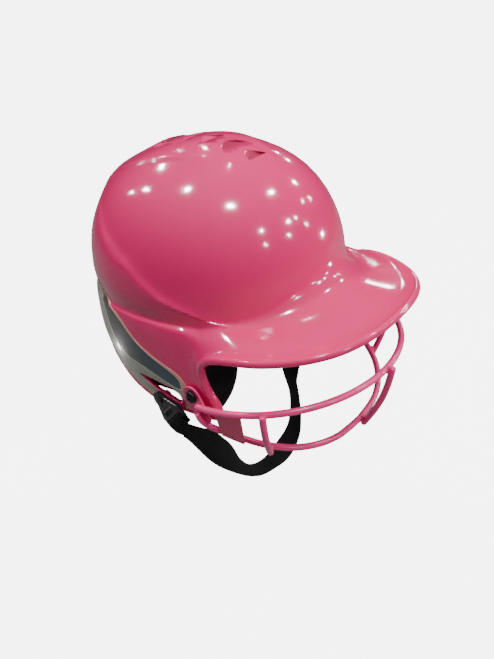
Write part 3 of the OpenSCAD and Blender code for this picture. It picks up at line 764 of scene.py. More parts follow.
def frame_at(path: Sequence[Vector], index: int, across: Vector) -> Matrix:
    """Return the place and turn of a ring at one point of a path.

    Args:
        path: the path's points.
        index: which point.
        across: direction that the ring's x axis keeps to.

    Returns:
        A matrix whose z axis runs along the path.
    """
    tangent = (path[min(index + 1, len(path) - 1)] - path[max(index - 1, 0)]).normalized()
    x = (across - across.dot(tangent) * tangent).normalized()
    turn = Matrix((x, tangent.cross(x), tangent)).transposed().to_4x4()
    return Matrix.Translation(path[index]) @ turn


def tube(path: Sequence[Vector], radius: float, segments: int = 24, dome: int = 4,
         bulge: float = 0.5) -> Solid:
    """Make a round wire with softly domed ends along a path.

    Args:
        path: the wire's centre line.
        radius: the wire's radius.
        segments: points round the wire.
        dome: rings in each rounded end.
        bulge: height of a rounded end, as a share of the radius.

    Returns:
        The wire's mesh.
    """
    hub = Vector((0.0, -0.06, -0.2))  # inside the cage, so that no ring turns over
    rings: List[Matrix] = []
    for index, spot in enumerate(path):
        place = frame_at(path, index, spot - hub)
        if 0 < index < len(path) - 1:
            rings.append(place)
            continue
        inward = place.col[2].xyz * (-1 if index else 1)
        cap = []
        for k in range(1, dome + 1):
            angle = math.pi / 2 * k / dome
            ring = place.copy()
            ring.translation = spot + inward * radius * bulge * (1 - math.cos(angle))
            cap.append(ring @ Matrix.Diagonal((math.sin(angle), math.sin(angle), 1.0, 1.0)))
        rings.extend(reversed(cap) if index else cap)
    return sweep(rings, lambda a: (radius * math.cos(a), radius * math.sin(a)), segments)


def flip(bm: Solid, side: Side) -> None:
    """Mirror a left-hand mesh if it belongs on the right, and turn its normals outward."""
    if side is Side.RIGHT:
        bmesh.ops.scale(bm, vec=(-1.0, 1.0, 1.0), verts=bm.verts)
    bmesh.ops.recalc_face_normals(bm, faces=bm.faces)


def lathe(profile: Sequence[Pair], centre: Pair, side: Side, steps: int = 40) -> Solid:
    """Spin a profile about a line that runs along x.

    Args:
        profile: distance along x and radius of each point, in metres.
        centre: y and z of the line, in metres.
        side: which side of the head; the right side is mirrored.
        steps: steps round the full turn.

    Returns:
        The turned solid.
    """
    bm = bmesh.new()
    y, z = centre
    verts = [bm.verts.new((x, y, z + r)) for x, r in profile]
    edges = [bm.edges.new(pair) for pair in zip(verts, verts[1:])]
    bmesh.ops.spin(bm, geom=verts + edges, cent=(0.0, y, z), axis=(1.0, 0.0, 0.0),
                   dvec=(0.0, 0.0, 0.0), angle=2 * math.pi, steps=steps, use_merge=True,
                   use_duplicate=False)
    bmesh.ops.remove_doubles(bm, verts=bm.verts, dist=0.000001)
    flip(bm, side)
    return bm


def button(start: float, height: float, radius: float, count: int,
           fullness: float = 1.0) -> List[Pair]:
    """Round off a profile that is turned on the lathe.

    Args:
        start: distance along x where the rounding starts, in metres.
        height: how far it rises, in metres.
        radius: radius where it starts, in metres.
        count: points from there to the middle.
        fullness: less than 1 makes it squarer.

    Returns:
        Distance along x and radius of each point.
    """
    turns = [math.pi / 2 * k / count for k in range(1, count)]
    return [(start + height * math.sin(a), radius * math.cos(a) ** fullness)
            for a in turns] + [(start + height, 0.0)]


def disc_hull(discs: Sequence[Point], levels: Sequence[float], segments: int) -> Solid:
    """Wrap a hull round discs that face along x.

    Args:
        discs: y, z and radius of each disc, in metres.
        levels: x of each copy of the discs, in metres.
        segments: points on a disc.

    Returns:
        The hull's mesh.
    """
    bm = bmesh.new()
    turn = Matrix.Rotation(math.radians(90), 4, "Y")
    for y, z, r in discs:
        for x in levels:
            made = bmesh.ops.create_circle(bm, segments=segments, radius=r)["verts"]
            bmesh.ops.transform(bm, verts=made, matrix=Matrix.Translation((x, y, z)) @ turn)
    hull = bmesh.ops.convex_hull(bm, input=bm.verts)
    spare = {g for g in hull["geom_interior"] + hull["geom_unused"]
             if isinstance(g, bmesh.types.BMVert)}
    bmesh.ops.delete(bm, geom=list(spare), context="VERTS")
    return bm


def absorb(bm: Solid, other: Solid) -> None:
    """Add the other mesh to the first and free it."""
    mesh = bpy.data.meshes.new("passing")
    other.to_mesh(mesh)
    other.free()
    bm.from_mesh(mesh)
    bpy.data.meshes.remove(mesh)


def cut(piece: bpy.types.Object, tool: Solid) -> None:
    """Cut a shape out of a piece for good.

    Args:
        piece: the piece.
        tool: the shape that is taken away. It is freed.
    """
    mesh = bpy.data.meshes.new("tool")
    tool.to_mesh(mesh)
    tool.free()
    cutter = bpy.data.objects.new("tool", mesh)
    bpy.context.scene.collection.objects.link(cutter)
    modifier = piece.modifiers.new("cut", "BOOLEAN")
    modifier.operation = "DIFFERENCE"
    modifier.solver = "EXACT"
    modifier.object = cutter
    settle(piece)
    bpy.data.objects.remove(cutter)
    bpy.data.meshes.remove(mesh)


@dataclass(frozen=True)
class EarHole:
    """The ear hole, as the shape round three discs.

    Attributes:
        discs: y, z and radius of each disc, in metres.
        plug: x of the ends of a plug through the flap, in metres.
    """

    discs: Tuple[Point, ...] = (
        (-0.0255, -0.0825, 0.0070), (-0.0048, -0.0795, 0.0056), (0.0130, -0.0746, 0.0012))
    plug: Pair = (0.085, 0.125)

    def cutter(self, side: Side, grow: float) -> Solid:
        """Return a plug through the flap.

        Args:
            side: which side of the head.
            grow: how far the outline is widened, in metres.

        Returns:
            The plug's mesh.
        """
        bm = disc_hull([(y, z, r + grow) for y, z, r in self.discs], self.plug, 32)
        flip(bm, side)
        return bm

    def inside(self, y: float, z: float, margin: float) -> bool:
        """Tell whether a point is in the hole or within a margin of it.

        Args:
            y: the point's y, in metres.
            z: the point's z, in metres.
            margin: width of the border that also counts, in metres.

        Returns:
            True inside.
        """
        for a, b in zip(self.discs, self.discs[1:]):
            share, distance = nearest(y, z, a, b)
            if distance < lerp(a[2], b[2], share) + margin:
                return True
        return False


@dataclass(frozen=True)
class ShellSize:
    """How the moulded shell is refined.

    Attributes:
        levels: subdivision levels.
        crease_angle: least angle of an edge that stays sharp, in degrees.
        rim: outermost points of the CAD shell's left rim, front to rear, in millimetres.
        rim_slice: half the thickness of the slice that holds one ring of its corners, in metres.
        rim_steps: rings in half the way between two of those points.
        rim_radius: radius of the rolled rim at the front and at the rear, in millimetres.
        rim_change: share of the half where the radius changes.
        rim_hub: from here the rings of the rolled rim are seen from inside, in metres.
        scoop_height: least height of a scoop, in metres.
        scoop_area: largest area of a scoop's face, in square metres.
        scoop_angle: largest angle between faces of one scoop floor, in degrees.
    """

    levels: int = 1
    crease_angle: float = 38.0
    rim: Tuple[Point, ...] = (
        (0, -175.7, -15.1), (33.3, -172, -16.3), (59.3, -161, -18.8), (79.8, -142.6, -21.6),
        (95.2, -118.8, -23.9), (102, -99.8, -25.3), (104.2, -85, -28), (103.9, -75, -32),
        (102.6, -68, -37.5), (101.2, -65, -45), (100.6, -66, -54), (100.3, -70, -63),
        (100, -75.5, -72), (99.3, -76, -82), (98.3, -69, -90.5), (97.6, -55, -94.5),
        (97.5, -36, -98), (97.3, -15, -100.5), (97, 6, -101.5), (93.6, 36, -95.5),
        (83, 67, -89.5), (69.1, 93.9, -86.7), (48.9, 114, -82.6), (25.3, 126.7, -79.6),
        (0, 131, -78.5))
    rim_slice: float = 0.0004
    rim_steps: int = 4
    rim_radius: Pair = (3.30, 2.52)
    rim_change: Pair = (0.60, 0.71)
    rim_hub: Point = (0.0, -0.02, 0.02)
    scoop_height: float = 0.06
    scoop_area: float = 0.0003
    scoop_angle: float = 22.8


class Shell:
    """The moulded helmet shell."""

    def __init__(self, size: ShellSize, paints: Paintbox) -> None:
        """Keep the settings and the finishes."""
        self.size = size
        self.paints = paints
        self.piece: bpy.types.Object = None

    def _inward(self, corners: Sequence[Vector], tip: Vector, along: Vector) -> Vector:
        """Find the way from a point of the rim to the middle of the CAD shell's round bead.

        Args:
            corners: the CAD shell's corners.
            tip: the bead's outermost point.
            along: direction of the rim there.

        Returns:
            The way to the middle of the circle through the ring of five corners at the tip.
        """
        level = [c - tip for c in corners if abs((c - tip).dot(along)) < self.size.rim_slice]
        arc = sorted(level, key=lambda c: c.length)[1:5]
        inward = sum(arc, Vector()).normalized()
        return inward * arc[-1].length_squared / (2 * arc[-1].dot(inward))

    def _bead_line(self, bm: Solid) -> List[Vector]:
        """Find the middle of the bead of the CAD shell.

        Args:
            bm: the CAD shell's mesh.

        Returns:
            Points at the rim's key points and halfway between them, front to rear.
        """
        corners = [vert.co.copy() for vert in bm.verts]
        keys = [Vector(p) * MM for p in self.size.rim]
        step = 16  # fine enough for the rim's direction
        line = catmull(mirrored(keys[2:0:-1], -1) + keys + mirrored(keys[-2:-4:-1], -1), step)
        tips = [(line[i], (line[i + 1] - line[i - 1]).normalized())
                for i in range(2 * step, (len(keys) + 1) * step + 1, step // 2)]
        ways = [self._inward(corners, tip, along) for tip, along in tips[::2]]
        out = []
        for k, (tip, along) in enumerate(tips):
            before, after = ways[k // 2], ways[(k + 1) // 2]
            way = before + after
            way -= way.dot(along) * along
            out.append(tip + way.normalized() * (before.length + after.length) / 2)
        return out

    def _rim(self, bm: Solid) -> Solid:
        """Lay a rolled rim round the bead of the CAD shell.

        Args:
            bm: the CAD shell's mesh.

        Returns:
            The rolled rim's mesh, right round the shell's edge.
        """
        size = self.size
        half = catmull(self._bead_line(bm), size.rim_steps)
        change = [ramp(i / (len(half) - 1), *size.rim_change) for i in range(len(half))]
        path = half + mirrored(half[-2:0:-1], -1)
        change = change + change[-2:0:-1]
        rings = []
        for index, point in enumerate(path):
            near = [path[index - 1], point, path[(index + 1) % len(path)]]
            r = lerp(*size.rim_radius, change[index]) * MM
            place = frame_at(near, 1, point - Vector(size.rim_hub))
            rings.append(place @ Matrix.Diagonal((r, r, 1.0, 1.0)))
        return sweep(rings, lambda a: (math.cos(a), math.sin(a)), 16, closed=True)

    def _scoops(self, bm: Solid) -> None:
        """Give the floors of the scoops on the crown the second material, a darker pink that is
        painted shade.

        Args:
            bm: the shell's mesh, before it is smoothed.
        """
        seen = set()
        for start in bm.faces:
            if start in seen or start.calc_center_median().z < self.size.scoop_height:
                continue
            island, queue = [], [start]
            seen.add(start)
            while queue:
                face = queue.pop()
                island.append(face)
                for edge in face.edges:
                    if edge.calc_face_angle(math.pi) <= math.radians(self.size.scoop_angle):
                        fresh = [other for other in edge.link_faces if other not in seen]
                        seen.update(fresh)
                        queue.extend(fresh)
            area = sum(face.calc_area() for face in island)
            if area < self.size.scoop_area:
                LOG.info("scoop face of %.0f square millimetres", area / MM ** 2)
                for face in island:
                    face.material_index = 1

    def build(self) -> None:
        """Smooth the CAD shell between its sharp edges and lay the rolled rim over it."""
        bm = merged_copy("shell")
        crease(bm, self.size.crease_angle)
        self._scoops(bm)
        absorb(bm, self._rim(bm))
        self.piece = publish(bm, "shell_smooth", self.paints.shell, ("shell",))
        # The second material darkens the scoop floors as painted shade.
        self.piece.data.materials.append(self.paints.scoop.material)
        subdivide(self.piece, self.size.levels)

    def surface(self) -> BVHTree:
        """Return the smoothed surface as something that rays can be cast at."""
        return BVHTree.FromObject(self.piece, bpy.context.evaluated_depsgraph_get())


@dataclass(frozen=True)
class DecalSize:
    """Outlines on the side decal, as degrees round the head and millimetres of height.

    The degrees count from the front.

    Attributes:
        lower: points along the lower edge, front to rear.
        upper: points along the upper edge.
        band: round the dark band.
        stripe: round the pale stripe, under the band too.
        bare: round the patch below the ear hole that has no film.
        span: degrees at which the place along the film is 0 and 1.
        degree: millimetres of shell for one degree.
        lift: distance of the film from the shell, in metres.
        thickness: thickness of the film, in metres.
        hole_margin: width round the ear hole where the shell's edge isn't followed, in metres.
        hole_gap: how far the film stays back from the ear hole, in metres.
        smoothing: rounds that level the film there.
        columns: grid cells along the decal.
        rows: grid cells across it.
    """

    lower: Tuple[Pair, ...] = (
        (65.8, -90.6), (69, -92.0), (73, -93.4), (77, -94.4), (82, -95.1), (87, -95.8),
        (93, -95.7), (99, -94.0), (105, -90.8), (112.2, -85.9), (118, -82), (122.6, -78.9),
        (131.9, -73.6), (138.3, -63.7), (141.5, -42.2), (144.9, -16), (148.9, 3.2))
    upper: Tuple[Pair, ...] = (
        (66.2, -73.6), (66.8, -65.2), (68.3, -60.6), (70.8, -56.2), (74.1, -53.0), (79.4, -49.9),
        (84.8, -46.2), (90.4, -41.4), (94.5, -36.6), (98.7, -30), (102.8, -23.2), (107.5, -18.7),
        (113.9, -14.5), (124.1, -3.8), (131.5, 2.5), (139.1, 8.8), (146.6, 14.8))
    band: Tuple[Pair, ...] = (
        (70.4, -70.4), (70.5, -63.6), (72.4, -58.8), (75.5, -55.5), (79.7, -52.4), (85.2, -48.7),
        (91.2, -43.2), (95.8, -38.0), (100.1, -31.4), (104.3, -24.9), (109, -20.2), (115, -16),
        (125, -5.6), (132, 0.6), (139.5, 6.9), (146, 12.6), (144, 8), (138, 3.5), (131, -3),
        (125, -10), (121, -17.5), (118.3, -26), (116.4, -35.4), (114.4, -43.3), (111.5, -49),
        (109.2, -53.7), (105.9, -58), (102.2, -60), (97.8, -60.6), (92.4, -62), (87.8, -64.4),
        (83.1, -66.7), (79.3, -68.7), (76.5, -69.9), (73.2, -71))
    stripe: Tuple[Pair, ...] = (
        (70.2, -72.2), (72.5, -66), (80, -60), (95, -50), (108, -35), (120, -8), (132, 0),
        (141, 7.4), (147.8, 9), (147.4, 1.5), (143.8, -16), (140.2, -42), (136.8, -61.5),
        (130.6, -70.8), (122.4, -75.5), (116.9, -79.4), (110.7, -83.4), (106.1, -87.2),
        (100.4, -90.8), (94.6, -92.4), (89, -91.4), (86, -88), (82, -84), (76, -80),
        (71.4, -75.8))
    bare: Tuple[Pair, ...] = (
        (89.6, -91), (86, -84), (80, -82), (74, -82), (70.2, -83), (70.3, -87.5), (71, -91.5),
        (73.5, -97), (80, -99), (87, -99.5), (91, -96.5))
    span: Pair = (65.0, 150.0)
    degree: float = 1.8
    lift: float = 0.00022
    thickness: float = 0.00014
    hole_margin: float = 0.0022
    hole_gap: float = 0.0006
    smoothing: int = 160
    columns: int = 170
    rows: int = 48

    def zones(self) -> Dict[str, List[Vector]]:
        """Return the closed outlines of the zones, in millimetres on the shell."""
        out = {}
        for name, points in (("band", self.band), ("stripe", self.stripe), ("bare", self.bare)):
            ring = [Vector((a * self.degree, z, 0.0)) for a, z in points]
            out[name] = catmull(ring + ring[:1], 3)[:-1]
        return out


@dataclass
class Landing:
    """Where one corner of the film comes to lie.

    Attributes:
        vert: the corner.
        out: level direction from the head's axis to the corner.
        height: its height, in metres.
        reach: distance from the axis to the shell, in metres.
        normal: the shell's normal.
        open: whether the shell has no plain surface there.
    """

    vert: bmesh.types.BMVert
    out: Vector
    height: float
    reach: float = 0.0
    normal: Vector = None
    open: bool = False

    def spot(self) -> Vector:
        """Return the corner's place on the shell."""
        return self.out * self.reach + Vector((0.0, 0.0, self.height))


class Decal:
    """The two-tone film on one side of the shell."""

    RAY_START = 0.25
    LEAST_REACH = 0.05

    def __init__(self, side: Side, size: DecalSize, hole: EarHole, paints: Paintbox) -> None:
        """Keep the side, the sizes and the finishes."""
        self.side = side
        self.size = size
        self.hole = hole
        self.paints = paints

    def _edges(self) -> List[List[Vector]]:
        """Return smooth lower and upper edges with one point for each column."""
        out = []
        for row in (self.size.lower, self.size.upper):
            fine = catmull([Vector((a, z, 0.0)) for a, z in row], 25)
            out.append([fine[round(i * (len(fine) - 1) / self.size.columns)]
                        for i in range(self.size.columns + 1)])
        return out

    def _land(self, tree: BVHTree, vert: bmesh.types.BMVert, angle: float,
              height: float) -> Landing:
        """Cast a ray from outside to the shell.

        Args:
            tree: the shell's surface.
            vert: the corner of the film.
            angle: degrees round the head from the front.
            height: height in metres.

        Returns:
            Where the corner comes to lie.
        """
        a = math.radians(angle)
        out = Vector((self.side.value * math.sin(a), -math.cos(a), 0.0))
        land = Landing(vert, out, height, normal=out)
        spot, normal, _, _ = tree.ray_cast(out * self.RAY_START + Vector((0.0, 0.0, height)), -out)
        if spot is not None:
            land.reach = spot.xy.length
            land.normal = normal if normal.dot(out) > 0 else -normal
        land.open = land.reach < self.LEAST_REACH or self.hole.inside(
            *land.spot().yz, self.size.hole_margin)
        return land

    def _level(self, landed: Dict[Tuple[int, int], Landing]) -> None:
        """Carry the film smoothly over the ear hole and its edge.

        Args:
            landed: the film's corners by column and row.
        """
        gaps = [key for key, land in landed.items() if land.open]
        for _ in range(self.size.smoothing):
            for i, j in gaps:
                near = [landed[k] for k in ((i - 1, j), (i + 1, j), (i, j - 1), (i, j + 1))
                        if k in landed]
                landed[i, j].reach = sum(land.reach for land in near) / len(near)
                landed[i, j].normal = sum((land.normal for land in near), Vector()).normalized()

    def build(self, tree: BVHTree) -> None:
        """Lay the film on the shell and cut the ear hole out of it.

        Args:
            tree: the shell's surface.
        """
        size = self.size
        lower, upper = self._edges()
        bm = bmesh.new()
        along = bm.verts.layers.float.new("along")
        zones = [(bm.verts.layers.float.new(name), ring) for name, ring in size.zones().items()]
        bmesh.ops.create_grid(bm, x_segments=size.columns, y_segments=size.rows, size=0.5)
        landed: Dict[Tuple[int, int], Landing] = {}
        for vert in bm.verts:
            i = round((vert.co.x + 0.5) * size.columns)
            j = round((vert.co.y + 0.5) * size.rows)
            angle, height = lower[i].lerp(upper[i], j / size.rows).xy
            vert[along] = (angle - size.span[0]) / (size.span[1] - size.span[0])
            for layer, ring in zones:
                vert[layer] = inner_distance(ring, angle * size.degree, height)
            landed[i, j] = self._land(tree, vert, angle, height * MM)
        self._level(landed)
        for land in landed.values():
            land.vert.co = land.spot() + land.normal * size.lift
        bmesh.ops.recalc_face_normals(bm, faces=bm.faces)
        middle = landed[size.columns // 2, size.rows // 2]
        if middle.vert.normal.dot(middle.out) < 0:
            bmesh.ops.reverse_faces(bm, faces=bm.faces)
        bmesh.ops.solidify(bm, geom=bm.faces[:], thickness=-size.thickness)
        piece = publish(bm, f"decal_film_{self.side.label}", self.paints.decal,
                        (f"decal_{self.side.label}",))
        cut(piece, self.hole.cutter(self.side, size.hole_gap))


@dataclass(frozen=True)
class CageSize:
    """Main sizes of the wire face mask, in metres and degrees.

    Attributes:
        wire: wire diameter.
        bar_radius: radius of the upper bar's bend.
        bar_centre: middle of that bend.
        bar_rise: how much higher the upper bar's front is than its ends.
        lower: points along the left half of the lower bar, from the middle, in millimetres.
        struts: angle on the upper bar, foot on the lower bar in millimetres, for centre and side.
        bow: how far a strut bows outward.
        sink: how far a strut is sunk into the bars that it is welded to.
        past: how far a strut stands past the upper and the lower bar.
        weld: radius of a weld's ring and of its metal.
        seam: radius of the weld seam along a cheek plate's edge.
        plate_top: angles on the upper bar between which a plate is welded.
        plate_drop: distance of that seam below the bar's centre line.
        plate_low: rear end of the seam on the lower bar, and the way to its front end.
    """

    wire: float = 0.0056
    bar_radius: float = 0.1079
    bar_centre: Point = (0.0, -0.056, -0.0765)
    bar_rise: float = 0.0095
    lower: Tuple[Point, ...] = (
        (0, -140, -127.9), (28.8, -137.2, -127), (51.7, -128.8, -124.1), (70.4, -115.3, -119.4),
        (84.3, -97.1, -113.1), (95.2, -74.5, -105), (102, -64, -98.5), (106.7, -58.5, -90.5),
        (107.9, -56.5, -83.2))
    struts: Tuple[Tuple[float, Point], ...] = (
        (0.0, (0, -140, -127.9)), (58.6, (79.7, -104.4, -115.7)))
    bow: float = 0.0042
    sink: float = 0.001
    past: Pair = (0.004, 0.005)
    weld: Pair = (0.0019, 0.0012)
    seam: float = 0.0013
    plate_top: Pair = (80.0, 68.32)
    plate_drop: float = 0.0024
    plate_low: Tuple[Point, Point] = ((0.0996, -0.0716, -0.1038), (-0.0076, -0.0168, -0.0078))


class Cage:
    """The welded wire face mask."""

    def __init__(self, size: CageSize, paints: Paintbox) -> None:
        """Keep the sizes and the finishes."""
        self.size = size
        self.paints = paints

    def on_bar(self, angle: float) -> Vector:
        """Return the point of the upper bar's centre line at an angle from the front."""
        r = self.size.bar_radius
        a, tilt = math.radians(angle), math.asin(self.size.bar_rise / r)
        return Vector(self.size.bar_centre) + r * Vector((
            math.sin(a), -math.cos(a) * math.cos(tilt), math.cos(a) * math.sin(tilt)))

    def _strut_path(self, head: Vector, foot: Vector, out: Vector) -> List[Vector]:
        """Return a strut's centre line, bowed outward.

        Args:
            head: where it leaves the upper bar.
            foot: where it meets the lower bar.
            out: direction outward.

        Returns:
            Points down the strut.
        """
        size, steps = self.size, 28
        down = (foot - head).normalized()
        top, end = head - down * size.past[0], foot + down * size.past[1]
        return [top.lerp(end, k / steps)
                + out * (size.wire - size.sink + size.bow * math.sin(math.pi * k / steps))
                for k in range(steps + 1)]

    def _bead(self, centre: Vector, out: Vector) -> Solid:
        """Return the uneven ring of weld metal between two touching wires.

        Args:
            centre: where the wires touch.
            out: direction from the inner wire to the outer one.

        Returns:
            The bead's mesh.
        """
        ring, thick = self.size.weld
        bm = bmesh.new()
        made = bmesh.ops.create_circle(bm, segments=10, radius=thick)["verts"]
        bmesh.ops.rotate(bm, verts=made, cent=(0, 0, 0),
                         matrix=Matrix.Rotation(math.pi / 2, 3, "X"))
        bmesh.ops.translate(bm, verts=made, vec=(ring, 0, 0))
        bmesh.ops.spin(bm, geom=bm.verts[:] + bm.edges[:], cent=(0, 0, 0), axis=(0, 0, 1),
                       dvec=(0, 0, 0), angle=2 * math.pi, steps=32, use_merge=True,
                       use_duplicate=False)
        for vert in bm.verts:
            wave = math.sin(math.atan2(vert.co.y, vert.co.x) * 7 + centre.x * 300)
            vert.co += vert.co.normalized() * thick * 0.16 * wave
        place = Matrix.Translation(centre) @ out.to_track_quat("Z", "Y").to_matrix().to_4x4()
        bmesh.ops.transform(bm, matrix=place, verts=bm.verts)
        bmesh.ops.recalc_face_normals(bm, faces=bm.faces)
        return bm

    def _wire(self, bm: Solid, node: str) -> None:
        """Publish a wire of the mask as the CAD node's stand-in."""
        publish(bm, f"mask_{node}", self.paints.wire, (node,))

    def build(self) -> None:
        """Make the bars, the struts, the plates and the welds."""
        size, wire = self.size, self.size.wire / 2
        self._wire(tube([self.on_bar(-90 + 180 * k / 96) for k in range(97)], wire), "upper_bar")
        corners = catmull([Vector(p) * MM for p in size.lower], 2)  # as the CAD bar has them
        half = catmull(corners, 5)
        self._wire(tube(mirrored(half[:0:-1], -1) + half, wire), "lower_bar")
        welds, sides = bmesh.new(), bmesh.new()
        for angle, spot in size.struts:
            a = math.radians(angle)
            head, foot = self.on_bar(angle), Vector(spot) * MM
            out = Vector((math.sin(a), -math.cos(a), 0.0))
            path = self._strut_path(head, foot, out)
            for sign in ((1, -1) if angle else (1,)):
                strut = tube(mirrored(path, sign), wire)
                if angle:
                    absorb(sides, strut)
                else:
                    self._wire(strut, "centre_strut")
                away, *joints = mirrored((out, head, foot), sign)
                for joint in joints:
                    absorb(welds, self._bead(joint + away * wire * 0.9, away))
        self._wire(sides, "side_struts")
        for side in Side:
            self._plate(side, welds)
        publish(welds, "mask_welds", self.paints.wire)

    def _plate(self, side: Side, welds: Solid) -> None:
        """Make one cheek plate and lay its weld seams.

        Args:
            side: which side of the face.
            welds: the mesh that gathers the weld metal.
        """
        size, steps = self.size, 6
        node = f"cheek_plate_{side.label}"
        # The plate's paint is the mask's pink darkened as painted shade.
        piece = publish(merged_copy(node), f"mask_plate_{side.label}", self.paints.plate, (node,))
        bevel_edges(piece, 0.0004, 3)
        shares = [k / steps for k in range(steps + 1)]
        top = [self.on_bar(lerp(*size.plate_top, t)) - Vector((0.0, 0.0, size.plate_drop))
               for t in shares]
        start, way = (Vector(p) for p in size.plate_low)
        for row in (top, [start + way * t for t in shares]):
            bead = tube(mirrored(row, side.value), size.seam, 10, bulge=0.8)
            for k, vert in enumerate(bead.verts):
                vert.co.z += 0.00012 * math.sin(k * 1.7)
            absorb(welds, bead)


@dataclass(frozen=True)
class ClipSize:
    """Sizes of a mask fixing, in metres.

    Attributes:
        centre: y and z of the screw.
        flap_out: x of the flap's outer face.
        washer: thickness of the washer.
        washer_radius: its outer radius.
        tab: thickness of the tab.
        tab_low: offset in y and z of the tab's lower disc.
        discs: radii of the tab's two discs.
        border: width and depth of the two steps of the tab's pressed border.
        shank: radius of the screw's shank.
        clearance: gap round the shank.
        head: radius of the screw's head, its straight height and its domed height.
        recess: size of one slot of the cross in the head.
        recess_height: middle of the cross above the head's seat.
        nut_seat: x of the flap's inner face at the nut.
        nut: radii of the nut's bore, collar and flange.
        nut_height: thickness of the flange and length of the collar.
        ease: width of an eased edge.
    """

    centre: Pair = (-0.050, -0.071)
    flap_out: float = 0.1031
    washer: float = 0.0007
    washer_radius: float = 0.0066
    tab: float = 0.0016
    tab_low: Pair = (-0.009, -0.0155)
    discs: Pair = (0.0092, 0.0084)
    border: Tuple[Pair, Pair] = ((0.0011, 0.0), (0.0005, -0.00025))
    shank: float = 0.0025
    clearance: float = 0.0003
    head: Point = (0.0053, 0.0011, 0.0022)
    recess: Point = (0.003, 0.0011, 0.0052)
    recess_height: float = 0.0036
    nut_seat: float = 0.0979
    nut: Point = (0.0026, 0.0034, 0.0070)
    nut_height: Pair = (0.0012, 0.0036)
    ease: float = 0.0003


class Clip:
    """A mask tab with its screw, washer and nut."""

    def __init__(self, side: Side, size: ClipSize, paints: Paintbox) -> None:
        """Keep the side, the sizes and the finishes."""
        self.side = side
        self.size = size
        self.paints = paints
        self.face = size.flap_out + size.washer
        self.seat = self.face + size.tab

    def _tab(self) -> None:
        """Make the flat tab with a pressed border."""
        size = self.size
        y, z = size.centre
        low_y, low_z = y + size.tab_low[0], z + size.tab_low[1]
        bm = disc_hull(((y, z, size.discs[0]), (low_y, low_z, size.discs[1])), (self.face,), 48)
        bmesh.ops.dissolve_limit(bm, angle_limit=0.02, verts=bm.verts[:], edges=bm.edges[:])
        bmesh.ops.delete(bm, geom=bm.faces[1:], context="FACES_ONLY")
        made = bmesh.ops.extrude_face_region(bm, geom=bm.faces[:])["geom"]
        lid = [g for g in made if isinstance(g, bmesh.types.BMVert)]
        bmesh.ops.translate(bm, verts=lid, vec=(size.tab, 0.0, 0.0))
        outer = max((f for f in bm.faces if len(f.verts) > 8),
                    key=lambda f: f.calc_center_median().x)
        for width, depth in size.border:
            bmesh.ops.inset_region(bm, faces=[outer], thickness=width, depth=depth)
        flip(bm, self.side)
        piece = publish(bm, f"mask_tab_{self.side.label}", self.paints.wire,
                        (f"tab_{self.side.label}",))
        below, above, bore = self.face - 0.001, self.face + 0.004, size.shank + size.clearance
        cut(piece, lathe([(below, 0.0), (below, bore), (above, bore), (above, 0.0)], size.centre,
                         self.side))
        bevel_edges(piece, 0.0003, 3)

    def _screw(self) -> None:
        """Make the button-head screw with its cross recess."""
        size, seat = self.size, self.seat
        radius, straight, domed = size.head
        end, tip = size.nut_seat - 0.002, 0.0004
        profile = [(end, 0.0), (end, size.shank - tip), (end + tip, size.shank),
                   (seat, size.shank), (seat, radius - size.ease), (seat + size.ease, radius),
                   (seat + straight, radius), *button(seat + straight, domed, radius, 8, 0.8)]
        screw = publish(lathe(profile, size.centre, self.side, 48), f"screw_{self.side.label}",
                        self.paints.screw, self.side.shared("clip_screws"))
        for turn in (45, 135):
            slot = bmesh.new()
            bmesh.ops.create_cube(slot, size=1.0)
            bmesh.ops.scale(slot, vec=size.recess, verts=slot.verts)
            place = Matrix.Translation((seat + size.recess_height, *size.centre))
            bmesh.ops.transform(slot, matrix=place @ Matrix.Rotation(math.radians(turn), 4, "X"),
                                verts=slot.verts)
            flip(slot, self.side)
            cut(screw, slot)
        shade_by_angle(screw)

    def _ring(self, name: str, node: str, paint: Paint, profile: Sequence[Pair]) -> None:
        """Turn a ring about the screw.

        Args:
            name: start of the piece's name.
            node: the CAD node that holds both sides' rings.
            paint: its finish.
            profile: distance along x and radius of each corner, in metres.
        """
        bm = lathe([*profile, profile[0]], self.size.centre, self.side)
        shade_by_angle(publish(bm, f"{name}_{self.side.label}", paint, self.side.shared(node)))

    def build(self) -> None:
        """Make the tab and its fixings."""
        self._tab()
        self._screw()
        size = self.size
        inner, rim, ease = size.shank + size.clearance, size.washer_radius, 0.0002
        start, end = size.flap_out + 0.0001, self.face
        self._ring("washer", "clip_washers", self.paints.washer, (
            (start, inner), (start, rim - ease), (start + ease, rim), (end - ease, rim),
            (end, rim - ease), (end, inner)))
        bore, collar, flange = size.nut
        base, seat = size.nut_seat - size.nut_height[0], size.nut_seat
        top = seat + size.nut_height[1]
        self._ring("nut", "clip_nuts", self.paints.nut, (
            (base, bore), (base, flange - 0.0008), (base + size.ease, flange), (seat, flange),
            (seat, collar), (top, collar), (top, bore)))


